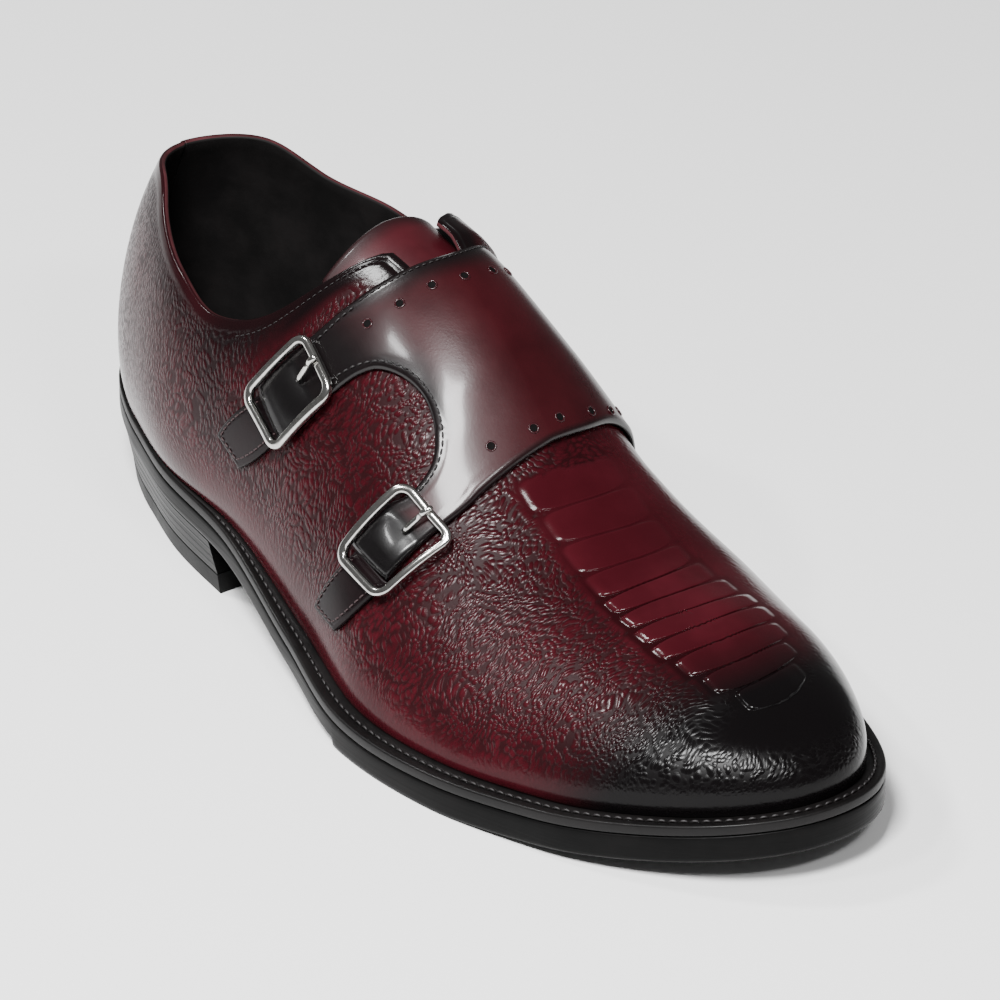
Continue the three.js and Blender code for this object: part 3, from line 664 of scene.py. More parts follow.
def scale_place(x, y):
    """Running number of the scale at a place, and how far across it lies, -1 to 1."""
    rows = np.array(SCALES)
    order = np.arange(len(rows))

    def count(ahead):
        edges = rows[:, 0] + rows[:, 1] * (y[..., None] - SCALE_LINE)
        part = (ahead[..., None] - edges[..., :-1]) / np.diff(edges, axis=-1)
        return np.clip(part, 0, 1).sum(-1)

    def place_across(number):
        lateral, medial = np.interp(number, order, rows[:, 2]), np.interp(number, order, rows[:, 3])
        return (y - (lateral + medial) / 2) / ((medial - lateral) / 2)
    across = place_across(count(x))
    number = count(x + 2.6 * np.clip(np.abs(across), 0, 1.3) ** 2 - 1.2)
    return number, place_across(np.minimum(np.floor(number), 10) + 0.5)


# About how many millimetres a radian of climb spans near the collar
RADIAN_SPAN = 58.0


def upper_burnish_and_shade(points, climb, below, turn):
    """Dark burnish at the toe, along the collar and the facings; painted shade under the collar's lowest
    place and up the back.
    """
    x, z = points[..., 0], points[..., 2]
    share = share_at(turn)
    collar_zone = np.where(share < THROAT_END, 1.0, 0.0)
    along = x + 16 * (1 - np.clip(climb / (math.pi / 2), 0, 1))
    burnish_and_shade = smooth(along, 94, 124)
    burnish_and_shade = np.maximum(burnish_and_shade, 0.9 * (1 - smooth(below, 2, 17)) * collar_zone * smooth(share, 0.12, 0.3))
    burnish_and_shade = np.maximum(burnish_and_shade, 0.7 * (1 - smooth(below, 2, 14)) * collar_zone)
    # painted shade: a dark band under the lateral collar's lowest place, and darker towards the top of the
    # back
    under = np.exp(-((x + 62 + 0.25 * (z - 60)) / 9.0) ** 2) * smooth(z, 34, 66) * (turn < 0)
    burnish_and_shade = np.maximum(burnish_and_shade, 0.62 * under)
    burnish_and_shade = np.maximum(burnish_and_shade, 0.5 * (1 - smooth(x, -140, -128)) * smooth(z, 50, 80))
    return np.maximum(burnish_and_shade, 0.95 * (1 - smooth(below, 6, 16)) * smooth(share, 0.3, 0.36) * collar_zone)


def upper_marks(points, climb, rim, turn):
    """Burnish with painted shade, grain and scale values of each vertex; all but the scales' places run from
    0 to 1.
    """
    x, y = points[..., 0], points[..., 1]
    share = share_at(turn)
    below = (rim - climb) * RADIAN_SPAN
    collar_zone = np.where(share < THROAT_END, 1.0, 0.0)
    burnish_and_shade = upper_burnish_and_shade(points, climb, below, turn)
    number, across = scale_place(x, y)
    upward = smooth(climb, math.radians(38), math.radians(58))
    inside = smooth(number, 0.0, 0.02) * (1 - smooth(number, 10.98, 11.0))
    pillow = 1 - np.abs(2 * (number % 1) - 1) ** 6 - np.abs(across) ** 4
    cover = smooth(pillow, -1.1, 0.1) * inside * upward
    faded = np.interp(number, [0, 3, 4, 11], [0.35, 0.5, 1.0, 1.0]) * (1 - 0.6 * smooth(across, 0.3, 0.9))
    scaled = upward * inside * faded * (1 - smooth(np.abs(across), 1.02, 1.1))
    height = smooth(pillow, 0.0, 0.6) * scaled
    toe = smooth(x, 114, 126) * smooth(climb, math.radians(24), math.radians(42))
    facing = (1 - smooth(below, 9, 15)) * smooth(share, 0.31, 0.36) * collar_zone
    grain = (1 - cover) * (1 - toe) * (1 - 0.95 * facing)
    grain = grain * (1 - 0.8 * smooth(y, 18, 30) * smooth(x, 8, 30))
    grain = grain * np.where(share < THROAT_END, smooth(below, 0.8, 4), 1)
    low = 1 - smooth(climb, math.radians(7), math.radians(22))
    grain = grain * (1 - 0.75 * low)
    fine = np.maximum(0.6 * low, 1 - smooth(share, 0.1, 0.27))
    return {"burnish_and_shade": burnish_and_shade, "grain": grain, "fine": fine, "scale_number": number, "scale_across": across,
            "scaled": scaled, "height": height}


# Upper
def facing_lift(turn, climb):
    """The medial facing's tip stands off the tongue behind the strap."""
    share = share_at(turn)
    run = smooth(share, 0.335, 0.375) * (1 - smooth(share, 0.405, 0.43))
    rise = smooth(climb, math.radians(30), math.radians(60))
    rise = rise * (1 - 0.4 * smooth(climb, math.radians(66), math.radians(80)))
    return 3.7 * run * rise * (turn > 0)


def upper_turns(half_turns):
    """Turns round the shoe, closer together over the vamp."""
    turn = np.linspace(0, math.pi, 4001)
    share = share_at(turn)
    density = 1 + 1.2 * smooth(share, 0.54, 0.6) * (1 - smooth(share, 0.96, 0.99))
    run = np.concatenate([[0], np.cumsum((density[1:] + density[:-1]) / 2)])
    half = np.interp(np.linspace(0, run[-1], half_turns + 1), run, turn)
    return np.concatenate([half, -half[-2::-1]])


def upper_lift(x, climb, below, share, height):
    """Lift of the outer face, in mm."""
    open_zone = np.where(share < THROAT_END - 1e-9, 1.0, 0.0)
    # pillowed scales; folded collar edge with a shallow channel below it
    lift = 0.4 * height
    channel = 0.16 * smooth(share, 0.27, 0.32) * np.exp(-((below - 3.0) / 0.7) ** 2)
    lift = lift + open_zone * (0.12 * (1 - smooth(below, 1.4, 2.6)) - channel)
    # a soft trough where the vamp bends, and the leather's own slight waviness
    lift = lift - 0.25 * np.exp(-((x - 24) / 5.0) ** 2) * smooth(climb, 0.25, 0.6)
    wave = (np.sin(x / 9.0 + 2.1 * climb) * np.sin(x / 15.0 - 3.3 * climb + 1.2)
            + 0.6 * np.sin(x / 5.3 + 5.0 * climb + 0.7) * np.sin(7.0 * climb - x / 21.0))
    return lift + 0.08 * wave * smooth(climb, 0.12, 0.4)


def folded_edge(turns, rim, top, up, closed, steps):
    """Rings round the collar's edge; the closed vamp has no edge."""
    normal = last_normal(turns, rim)
    edge = []
    for k in range(1, steps):
        angle = math.pi * k / steps
        depth = facing_lift(turns, rim) - WALL / 2 * (1 - math.cos(angle))
        ring = top + normal * depth[:, None] + up * (0.55 * math.sin(angle))
        ring[closed] = top[closed]
        edge.append(ring[:, None])
    return edge


def build_upper():
    """Outer face, folded edge and lining of the upper as one shell."""
    rings, inner_rings, edge_steps = 118, 16, 6
    turns = upper_turns(300)
    rim = rim_climb(turns)
    climb = rim[:, None] * np.linspace(0, 1, rings + 1)
    turn = np.broadcast_to(turns[:, None], climb.shape)
    plain = upper_point(turn, climb, np.zeros_like(climb))
    marks = upper_marks(plain, climb, rim[:, None], turn)
    below = (rim[:, None] - climb) * RADIAN_SPAN
    lift = upper_lift(plain[..., 0], climb, below, share_at(turn), marks.pop("height"))
    outer = upper_point(turn, climb, lift + facing_lift(turn, climb))
    foot, _, _, base = feather(turns)
    outer[:, 0, :2] = foot + SHIFT[:2]
    outer[:, 0, 2] = base + GAP
    closed = share_at(turns) >= THROAT_END - 1e-9
    edge = folded_edge(turns, rim, plain[:, -1], unit(outer[:, -1] - outer[:, -3]), closed, edge_steps)
    inner_climb = rim[:, None] * np.linspace(1, 0, inner_rings + 1)
    inner_turn = np.broadcast_to(turns[:, None], inner_climb.shape)
    inner = upper_point(inner_turn, inner_climb, facing_lift(inner_turn, inner_climb) - WALL)
    rows = np.concatenate([outer] + edge + [inner], 1)
    total = rows.shape[1]
    pad = ((0, 0), (0, total - rings - 1))
    marks = {key: np.pad(value, pad, mode="edge").reshape(-1) for key, value in marks.items()}
    closed_pair = closed[:-1] & closed[1:]
    faces, kinds = [], []
    # kinds: 0 outer leather, 2 edge, 1 lining
    for index, face in enumerate(grid_faces(len(turns), total)):
        i, j = divmod(index, total - 1)
        step = j - rings
        if 0 <= step < edge_steps and closed_pair[i]:
            continue
        faces.append(face)
        kinds.append(0 if step < 2 else (2 if step < 4 else 1))
    obj = build_mesh("upper_leather", rows.reshape(-1, 3), faces, marks, kinds=kinds)
    outward_by_hand(obj)
    finish_piece(obj, [UPPER, LINING, EDGE], ["upper"])


def outward_by_hand(obj):
    """Flips all faces if the first sheet's normals point inwards."""
    mesh = obj.data
    centre = Vector((0.0, 0.008, 0.03))
    total = 0.0
    for polygon in list(mesh.polygons)[:4000]:
        total += polygon.normal.dot(polygon.center - centre) * polygon.area
    if total < 0:
        mesh.flip_normals()


build_upper()


# Tongue
def build_tongue():
    start, end, steps, across_steps = 0.35, 0.57, 70, 60
    rows = [(0.0, 62, 66), (0.1, 58, 64), (1.0, 58, 64)]
    lateral, medial = curve(rows, 1), curve(rows, 2)
    part = np.linspace(0, 1, steps + 1)
    across = np.linspace(-1, 1, across_steps + 1)
    p, a = np.meshgrid(part, across, indexing="ij")
    share = start + (end - start) * p
    side = np.where(a < 0, -1.0, 1.0)
    climb = np.radians(90 + (np.where(a < 0, lateral(p), medial(p)) - 90) * np.abs(a))
    turn = turn_at(share, side)
    top = -WALL - (0.9 + 0.6 * p)
    half_width, length = 22, 66
    near = np.minimum((1 - np.abs(a)) * half_width, p * length)
    roll = 0.7 * (1 - np.clip(near / 1.2, 0, 1)) ** 2
    bow = 0.12 * np.sin(p * 9) * np.cos(a * 3)
    outer = upper_point(turn, climb, top - roll + np.minimum(bow, 0.0))
    inner = upper_point(turn, climb, top - 2.0 + roll)
    verts, faces = leaf(outer, inner)
    burnish_and_shade = 0.75 * (1 - smooth(near, 1.0, 6.5))
    obj = build_mesh("tongue_leather", verts, faces, {"burnish_and_shade": np.concatenate([burnish_and_shade.reshape(-1)] * 2)})
    outward(obj)
    finish_piece(obj, TONGUE_MAT, ["tongue"])


build_tongue()


# Strap with its two arms
def even(count):
    """Even steps from 0 to 1."""
    return np.linspace(0, 1, count + 1)


def strap_grid(rows, steps, cells, skew):
    """Shares and degrees of a grid over one panel of the strap."""
    rear, front = curve(rows, 1), curve(rows, 2)
    t = np.linspace(0, 1, steps + 1)
    degrees = rows[0][0] + (rows[-1][0] - rows[0][0]) * t
    d = degrees[:, None] + skew * (cells[None, :] - 0.5) * (1 - t[:, None])
    share = rear(degrees)[:, None] + (front(degrees) - rear(degrees))[:, None] * cells[None, :]
    return share, d


def place_on(seat):
    """Functions for points and normals on the upper, in mm beside and above a seat's middle."""
    share, climb, lean = seat
    turn, climb = float(turn_at(share, -1)), math.radians(climb)
    per_turn = (last_point(turn + STEP, climb) - last_point(turn - STEP, climb)) / (2 * STEP)
    per_climb = (last_point(turn, climb + STEP) - last_point(turn, climb - STEP)) / (2 * STEP)
    normal = last_normal(turn, climb)
    up = Vector(unit(per_climb))
    up.rotate(Matrix.Rotation(-math.radians(lean), 3, Vector(normal)))
    up = np.array(up)
    across = np.cross(up, normal)
    flatten = np.linalg.inv(np.stack([per_turn, per_climb, normal], 1))

    def at(x, y, distance):
        x, y, distance = np.broadcast_arrays(*[np.asarray(v, float) for v in (x, y, distance)])
        move = (x[..., None] * across + y[..., None] * up) @ flatten.T
        return upper_point(turn + move[..., 0], climb + move[..., 1], distance)

    def normal_at(x, y):
        x, y = np.broadcast_arrays(np.asarray(x, float), np.asarray(y, float))
        move = (x[..., None] * across + y[..., None] * up) @ flatten.T
        return last_normal(turn + move[..., 0], climb + move[..., 1])
    return at, normal_at


def seat_frame(seat):
    """Middle of a buckle on the upper, with its sideways and upward directions."""
    at, _ = place_on(seat)
    middle = at(0.0, 0.0, 0.0)
    return middle, unit(at(1.0, 0.0, 0.0) - middle), unit(at(0.0, 1.0, 0.0) - middle)


def strap_sheet():
    """Points, normals and faces of the strap and its arms as one sheet on the last."""
    top = STRAP_ROWS[0]
    width = top[2] - top[1]
    arch_rear = (REAR_ARM[-1][2] - top[1]) / width
    arch_front = (FRONT_ARM[-1][1] - top[1]) / width
    body = np.concatenate([even(20) * arch_rear, arch_rear + (arch_front - arch_rear) * even(12)[1:],
                           arch_front + (1 - arch_front) * even(16)[1:]])
    grids = [strap_grid(STRAP_ROWS, 130, body, 0.0), strap_grid(REAR_ARM, 42, even(20), ARM_SKEW[0]),
             strap_grid(FRONT_ARM, 42, even(16), ARM_SKEW[1])]
    verts, normals, faces, base = [], [], [], 0
    for share, degrees in grids:
        verts.append(section_point(share, degrees, np.zeros_like(share)).reshape(-1, 3))
        normals.append(section_normal(share, degrees).reshape(-1, 3))
        faces += [list(f) for f in grid_faces(share.shape[0], share.shape[1], base)]
        base += share.size
    verts, normals = np.concatenate(verts), np.concatenate(normals)
    first, back = unique_points(verts)
    return verts[first], normals[first], [[int(back[i]) for i in face] for face in faces]


def free_edges(faces):
    """Edges that only one face has."""
    edges = {}
    for face in faces:
        for a, b in zip(face, face[1:] + face[:1]):
            edges[(a, b)] = True
    return [(a, b) for a, b in edges if (b, a) not in edges]


def edge_distance(verts, free):
    """Each point's distance to the free edge, and the edge point nearest to it."""
    tree = KDTree(len(free) * 2)
    for k, (a, b) in enumerate(free):
        tree.insert(verts[a], 2 * k)
        tree.insert((verts[a] + verts[b]) / 2, 2 * k + 1)
    tree.balance()
    found = [tree.find(v) for v in verts]
    return np.array([hit[2] for hit in found]), np.array([free[hit[1] // 2][0] for hit in found])


def round_arch(verts, free, near, nearest):
    """Rounds the two corners of the arch between the arms."""
    ahead, behind = np.arange(len(verts)), np.arange(len(verts))
    for a, b in free:
        ahead[a], behind[b] = b, a
    corners = section_point([REAR_ARM[-1][2], FRONT_ARM[-1][1]], [63.0, 63.0], np.zeros(2))
    soft = np.exp(-(np.linalg.norm(verts[:, None] - corners, axis=-1).min(1) / 8.0) ** 4)
    moved = verts.copy()
    for _ in range(60):
        moved = moved + (0.5 * soft)[:, None] * ((moved[ahead] + moved[behind]) / 2 - moved)
    return verts + (moved - verts)[nearest] * np.exp(-(near / 4.0) ** 2)[:, None]


def fill_frames(verts):
    """Inside its frame each arm is wider, reaches down to the bar and bulges."""
    swell, arms = np.zeros(len(verts)), np.zeros(len(verts))
    for seat in (REAR_BUCKLE, FRONT_BUCKLE):
        middle, sideways, upwards = seat_frame(seat)
        u, v = (verts - middle) @ sideways, (verts - middle) @ upwards
        framed = (1 - smooth(np.abs(u), 9, 11)) * (1 - smooth(v, 5, 10))
        arms = np.maximum(arms, framed)
        verts = verts + (0.11 * framed * u)[:, None] * sideways
        verts = verts - (2.4 * framed * smooth(-v, 4.5, 8.0))[:, None] * upwards
        bulge = np.clip(1 - (u / 8.4) ** 2, 0, 1) ** 0.7 * np.clip(1 - ((v + 3.5) / 8.0) ** 2, 0, 1)
        swell = np.maximum(swell, 1.5 * bulge)
    return verts, swell, arms


def strap_burn(verts, near, arms):
    """Black at the rear edge and the arms, only a thin dark line at the front edge."""
    x, y = verts[:, 0], verts[:, 1]
    forward = smooth(x + 0.25 * y, 2, 14)
    width = 9.0 - 6.2 * forward * smooth(y, -34, -22)
    burnish_and_shade = 0.95 * (1 - smooth(near, 0.18 * width, width))
    rear_arm = (1 - forward) * (1 - smooth(y, -22, -6))
    burnish_and_shade = np.maximum(burnish_and_shade, 0.97 * np.maximum(1 - smooth(y, -38, -26), rear_arm))
    return np.maximum(burnish_and_shade, np.maximum(arms, 0.06))


def build_strap():
    """The strap's solid, with rolled edges and a stitch channel."""
    verts, normals, faces = strap_sheet()
    free = free_edges(faces)
    near, nearest = edge_distance(verts, free)
    verts, swell, arms = fill_frames(round_arch(verts, free, near, nearest))
    roll = 0.75 * (1 - np.clip(near / 1.3, 0, 1)) ** 2
    channel = 0.14 * np.exp(-((near - 2.1) / 0.45) ** 2)
    outer = verts + normals * (STRAP_FACE - roll - channel + swell)[:, None]
    inner = verts + normals * (CURVED_GAP + 0.25 * (1 - np.clip(near / 0.8, 0, 1)) ** 2)[:, None]
    count = len(verts)
    solid = faces + [[i + count for i in face[::-1]] for face in faces]
    solid += [[b, a, a + count, b + count] for a, b in free]
    burnish_and_shade = np.concatenate([strap_burn(verts, near, arms), np.ones(count)])
    obj = build_mesh("strap_leather", np.concatenate([outer, inner]), solid, {"burnish_and_shade": burnish_and_shade}, merge=False)
    outward(obj)
    finish_piece(obj, STRAP_MAT, ["strap_overlay"])


build_strap()


# Buckles, tabs, prongs
def buckle_loop(steps=10, side_steps=8):
    """Places and outward directions round the middle line of a buckle frame."""
    places = []
    for side in range(4):
        sx = 1 if side in (0, 3) else -1
        sy = 1 if side < 2 else -1
        cx, cy = sx * (BUCKLE_W / 2 - BUCKLE_CORNER), sy * (BUCKLE_L / 2 - BUCKLE_CORNER)
        for i in range(steps + 1):
            angle = math.pi / 2 * (side + i / steps)
            ox, oy = math.cos(angle), math.sin(angle)
            places.append((cx + BUCKLE_CORNER * ox, cy + BUCKLE_CORNER * oy, ox, oy))
    out = []
    for i, place in enumerate(places):
        out.append(place)
        if i % (steps + 1) == steps:
            nxt = places[(i + 1) % len(places)]
            for k in range(1, side_steps):
                part = k / side_steps
                out.append((place[0] + (nxt[0] - place[0]) * part,
                            place[1] + (nxt[1] - place[1]) * part, place[2], place[3]))
    return np.array(out)


def build_buckle(seat, name, node):
    at, _ = place_on(seat)
    loop = buckle_loop()
    sides = 20
    angle = np.linspace(0, 2 * math.pi, sides, endpoint=False)
    flat = np.sign(np.cos(angle)) * np.abs(np.cos(angle)) ** 0.75
    rise = np.sign(np.sin(angle)) * np.abs(np.sin(angle)) ** 0.75
    reach = BAR * flat
    x = loop[:, None, 0] + loop[:, None, 2] * reach
    y = loop[:, None, 1] + loop[:, None, 3] * reach
    points = at(x, y, np.broadcast_to(BAR_HEIGHT + BAR * rise, x.shape))
    rows = np.concatenate([points, points[:, :1]], 1)
    rows = np.concatenate([rows, rows[:1]], 0)
    obj = build_mesh(name, rows.reshape(-1, 3), grid_faces(rows.shape[0], rows.shape[1]))
    outward(obj)
    finish_piece(obj, METAL, [node])


def build_prong(seat, name, node):
    at, _ = place_on(seat)
    radius, reach = 0.8, BAR + GAP + 0.8
    path = [(4.0, STRAP_FACE + GAP + radius)]
    for i in range(13):
        angle = math.radians(140 + (55 - 140) * i / 12)
        path.append((BUCKLE_L / 2 + reach * math.cos(angle), BAR_HEIGHT + reach * math.sin(angle)))
    path = np.array(path)
    path = np.concatenate([path[:1] + (path[1] - path[0]) * t for t in (0, 0.25, 0.5, 0.75)] + [path[1:]])
    slope = np.gradient(path, axis=0)
    slope /= np.linalg.norm(slope, axis=1)[:, None]
    angle = np.linspace(0, 2 * math.pi, 16, endpoint=False)
    size = radius * np.concatenate([[0.85], np.ones(len(path) - 3), [0.95, 0.7]])
    x = size[:, None] * np.cos(angle)
    rise = size[:, None] * 0.9 * np.sin(angle)
    points = at(x, path[:, None, 0] - rise * slope[:, None, 1], path[:, None, 1] + rise * slope[:, None, 0])
    count = len(path)
    faces = ring_faces(count, 16)
    faces += [list(range(16)), [(count - 1) * 16 + j for j in range(16)]]
    obj = build_mesh(name, points.reshape(-1, 3), faces, merge=False)
    outward(obj)
    finish_piece(obj, METAL, [node])


def build_tab(seat, name, node):
    at, normal_at = place_on(seat)
    half_at_tab = curve([(0, 0.5), (0.875, 0.49), (1.0, 0.45)], 1, 14.2)
    start, reach, skew = 8.2, 17.0, 0.25
    length = BUCKLE_L / 2 + BAR + reach - start
    steps, cells = 60, 36
    along = np.linspace(0, 1, steps + 1)
    across = np.linspace(-1, 1, cells + 1)
    a, c = np.meshgrid(along, across, indexing="ij")
    half = half_at_tab(a)
    x, y = c * half - skew * a * length, -start - a * length
    near = np.minimum((1 - np.abs(c)) * half, np.minimum((1 - a) * length, a * length + 0.4))
    roll = 0.6 * (1 - np.clip(near / 1.1, 0, 1)) ** 2
    channel = 0.15 * np.exp(-((near - 1.7) / 0.35) ** 2)
    outer = at(x, y, CURVED_GAP + 1.6 - roll - channel)
    inner = at(x, y, np.full_like(x, CURVED_GAP))
    verts, faces = leaf(outer, inner)
    obj = build_mesh(name, verts, faces, merge=False)
    outward(obj)
    finish_piece(obj, TAB, [node])
    inset = 1.7
    t = np.linspace(0.12, 1, 40)
    side_l = [(-(half_at_tab(v) - inset) - skew * v * length, -start - v * (length - inset)) for v in t]
    side_r = [((half_at_tab(v) - inset) - skew * v * length, -start - v * (length - inset)) for v in t[::-1]]
    path = np.array(side_l + side_r)
    points = at(path[:, 0], path[:, 1], np.full(len(path), CURVED_GAP + 1.5))
    normals = normal_at(path[:, 0], path[:, 1])
    stitch_row(name + "_stitches", points, normals, 2.1, 1.6, 0.26, THREAD_RED, lift=0.0)


for seat, word in ((REAR_BUCKLE, "rear"), (FRONT_BUCKLE, "front")):
    build_buckle(seat, word + "_buckle_frame", word + "_buckle")
    build_prong(seat, word + "_buckle_pin", word + "_prong")
    build_tab(seat, word + "_tab_leather", word + "_tab")


# Welt, sole and heel
def level_rings(rings, turns):
    """Rings inside the sole's edge, each with an inset and a height over the share."""
    rows = []
    for inset, height in rings:
        plan = inset_point(turns, np.broadcast_to(np.asarray(inset, float), turns.shape))
        share = np.clip(plan[:, 0] / LENGTH, 0, 1)
        level = np.asarray(height(share), float)[:, None]
        rows.append(np.concatenate([plan, level], 1) + SHIFT)
    return np.array(rows)


def full_turns(half_turns):
    """Turns once round the shoe."""
    turns = np.pi * np.arange(2 * half_turns) / half_turns
    return np.where(np.arange(2 * half_turns) <= half_turns, turns, turns - 2 * np.pi)


def sole_top(share):
    return top_at(share) - WELT - GAP


def sole_bottom(share):
    into = np.clip((share - 0.57) / 0.0016 + 0.5, 0, 1)
    return np.maximum(0, sole_top(share) - (5.8 + 1.8 * into))


def cap(n, start, flip, offset):
    """Bands of quads across a ring of n points; with offset 0 the first point ends a band alone."""
    faces = []
    for i in range(n // 2):
        band = [i, i + 1, n - 1 - offset - i, n - offset - i]
        quad = list(dict.fromkeys(start + k % n for k in band))
        if len(quad) > 2:
            faces.append(quad[::-1] if flip else quad)
    return faces


def build_outsole():
    # two close turns at each side of the step under the waist
    edges = [float(turn_at(0.57 + shift, side)) for shift in (-0.0008, 0.0008) for side in (1, -1)]
    kept = [v for v in full_turns(240) if all(abs(v - edge) > 0.006 for edge in edges)]
    turns = np.array(sorted(kept + edges, key=lambda v: v + 2 * np.pi if v < 0 else v))

    def part(f):
        return lambda s: sole_bottom(s) + (sole_top(s) - sole_bottom(s)) * f

    def above(height):
        return lambda s: sole_bottom(s) + height

    def under(depth):
        return lambda s: sole_top(s) - depth
    rings = [(0.9, sole_bottom), (0.55, above(0.15)), (0.25, above(0.45)), (0.08, above(0.9)),
             (0.0, above(1.5)), (0.0, part(0.55)), (0.0, part(0.75)), (0.06, under(0.5)),
             (0.22, under(0.15)), (0.5, sole_top)]
    rows = level_rings(rings, turns)
    count, n = rows.shape[:2]
    faces = ring_faces(count, n) + cap(n, 0, True, 0) + cap(n, (count - 1) * n, False, 0)
    obj = build_mesh("outsole_edge", rows.reshape(-1, 3), faces, merge=False)
    outward(obj)
    flat_caps(obj)
    finish_piece(obj, SOLE, ["outsole"])


def flat_caps(obj, limit=0.85):
    """Level faces stay flat-shaded beside the rounded edge."""
    for polygon in obj.data.polygons:
        if abs(polygon.normal.z) > limit and polygon.area > 2e-6:
            polygon.use_smooth = False


def build_welt():
    turns = full_turns(240)
    ledge = ledge_at(share_at(turns))
    hole = ledge + WALL + 0.05

    def under(s):
        return top_at(s) - WELT

    def rise(height):
        return lambda s: top_at(s) + height
    # top surface with a stitch channel and a low rib beside the upper
    rings = [(0.35, under), (0.1, rise(0.2 - WELT)), (0.0, rise(0.55 - WELT)), (0.0, rise(-0.75)),
             (0.1, rise(-0.3)), (0.35, rise(-0.06)), (0.6, top_at), (ledge * 0.42, top_at),
             (ledge * 0.50, rise(-0.22)), (ledge * 0.58, rise(-0.22)), (ledge * 0.66, top_at),
             (ledge - 0.1, rise(0.06)), (hole, top_at), (hole, under)]
    rows = level_rings(rings, turns)
    count, n = rows.shape[:2]
    obj = build_mesh("welt_leather", rows.reshape(-1, 3), ring_faces(count, n, True), merge=False)
    outward(obj)
    finish_piece(obj, WELT_MAT, ["welt"])
    # stitches in the channel, from the waist round the toe
    low = float(turn_at(0.3, 1))
    t = np.linspace(low, 2 * np.pi - low, 500)
    t = np.where(t > np.pi, t - 2 * np.pi, t)
    ledge = ledge_at(share_at(t))
    plan = inset_point(t, ledge * 0.54)
    share = np.clip(plan[:, 0] / LENGTH, 0, 1)
    path = np.concatenate([plan, (top_at(share) - 0.2)[:, None]], 1) + SHIFT
    level = np.tile([0.0, 0.0, 1.0], (len(path), 1))
    stitch_row("welt_stitches", path, level, 2.9, 2.3, 0.42, THREAD, lift=0.15)


def heel_turns(count):
    """Turns round the heel, from side to side."""
    limit = float(turn_at(0.29, 1))
    return np.linspace(-limit, limit, count + 1)


def build_heel():
    turns = heel_turns(150)
    base, layers = 6.0 + GAP, 4
    bottom_inset, top_inset, face, groove = 3.2, 0.6, 0.01, 0.04

    def layer(part):
        return lambda s: base + (sole_bottom(s) - GAP - base) * part
    rings = []
    for k in range(layers):
        first, last = k / layers, (k + 1) / layers
        low = bottom_inset + (top_inset - bottom_inset) * first
        high = bottom_inset + (top_inset - bottom_inset) * last
        rings += [(low + groove, layer(first)), (low + face, layer(first + 0.01)),
                  (high + face, layer(last - 0.01)), (high + groove, layer(last - 0.001))]
    stack("heel_stack_leather", level_rings(rings, turns), HEEL, "heel_block")
    heights = [(4.35, 0.0), (4.0, 0.12), (3.87, 0.5), (3.25, 5.7), (3.35, 5.92), (3.6, 6.0)]
    rings = [(inset, lambda s, h=height: np.full_like(s, h)) for inset, height in heights]
    stack("heel_lift_rubber", level_rings(rings, turns), LIFT, "heel_top_lift")


def stack(name, rows, material, node):
    """Solid of rings that is straight at the heel breast."""
    count, n = rows.shape[:2]
    faces = ring_faces(count, n) + cap(n, 0, True, 1) + cap(n, (count - 1) * n, False, 1)
    obj = build_mesh(name, rows.reshape(-1, 3), faces, merge=False)
    outward(obj)
    obj.data.set_sharp_from_angle(angle=math.radians(28))
    finish_piece(obj, material, [node])


build_outsole()
build_welt()
build_heel()

# Stitches and punched holes
def strap_line(share, degrees, inside):
    """Points, normals and directions to the side of the place called inside, along a line on the last."""
    points = section_point(share, degrees, np.zeros(len(share)))
    normals = section_normal(share, degrees)
    away = unit(np.cross(normals, unit(np.gradient(points, axis=0))))
    middle = len(points) // 2
    target = section_point([inside[0]], [inside[1]], np.zeros(1))[0]
    if ((target - points[middle]) * away[middle]).sum() < 0:
        away = -away
    return points, normals, away


def strap_stitches(name, line, inset, pitch, length, radius):
    """Stitches on the strap's face, at a distance beside a line on the last."""
    points, normals, away = line
    path = points + away * inset + normals * STRAP_FACE
    stitch_row(name, path, normals, pitch, length, radius, THREAD, lift=-0.02)


def arch_stitches():
    """Along the arch between the arms, with its corners rounded as on the strap."""
    rear, front = np.linspace(47, 63, 40), np.linspace(63, 50, 36)
    top = np.linspace(REAR_ARM[-1][2], FRONT_ARM[-1][1], 16)[1:-1]
    share = np.concatenate([curve(REAR_ARM, 2)(rear), top, curve(FRONT_ARM, 1)(front)])
    degrees = np.concatenate([rear, np.full(len(top), 63.0), front])
    for _ in range(60):
        share[1:-1] = (share[:-2] + share[2:]) / 2
        degrees[1:-1] = (degrees[:-2] + degrees[2:]) / 2
    strap_stitches("arch_stitches", strap_line(share, degrees, (0.505, 75.0)), 2.1, 2.2, 1.7, 0.27)


def edge_stitches(name, rows, low, high, inset, pitch, length, radius):
    """Along the rear edge of the strap or of an arm."""
    degrees = np.linspace(low, high, 160)
    middle_row = rows[len(rows) // 2]
    inside = ((middle_row[1] + middle_row[2]) / 2, degrees[80])
    line = strap_line(curve(rows, 1)(degrees), degrees, inside)
    strap_stitches(name, line, inset, pitch, length, radius)


def seam_stitches(name, inset):
    """Along the strap's medial seam."""
    seam_degrees, rear, front = STRAP_ROWS[-1]
    share = rear + (front - rear) * np.linspace(0.03, 0.97, 120)
    degrees = np.full(120, float(seam_degrees))
    points = section_point(share, degrees, np.zeros(120))
    up = unit(section_point(share, degrees - 3, np.zeros(120)) - points)
    strap_stitches(name, (points, section_normal(share, degrees), up), inset, 2.4, 1.9, 0.26)


arch_stitches()
edge_stitches("strap_rear_stitches", STRAP_ROWS, 64, 160, 1.6, 1.9, 1.4, 0.16)
edge_stitches("rear_arm_stitches", REAR_ARM, 50, 63, 2.1, 2.2, 1.7, 0.25)
seam_stitches("strap_seam_stitches_1", 2.0)
seam_stitches("strap_seam_stitches_2", 4.6)

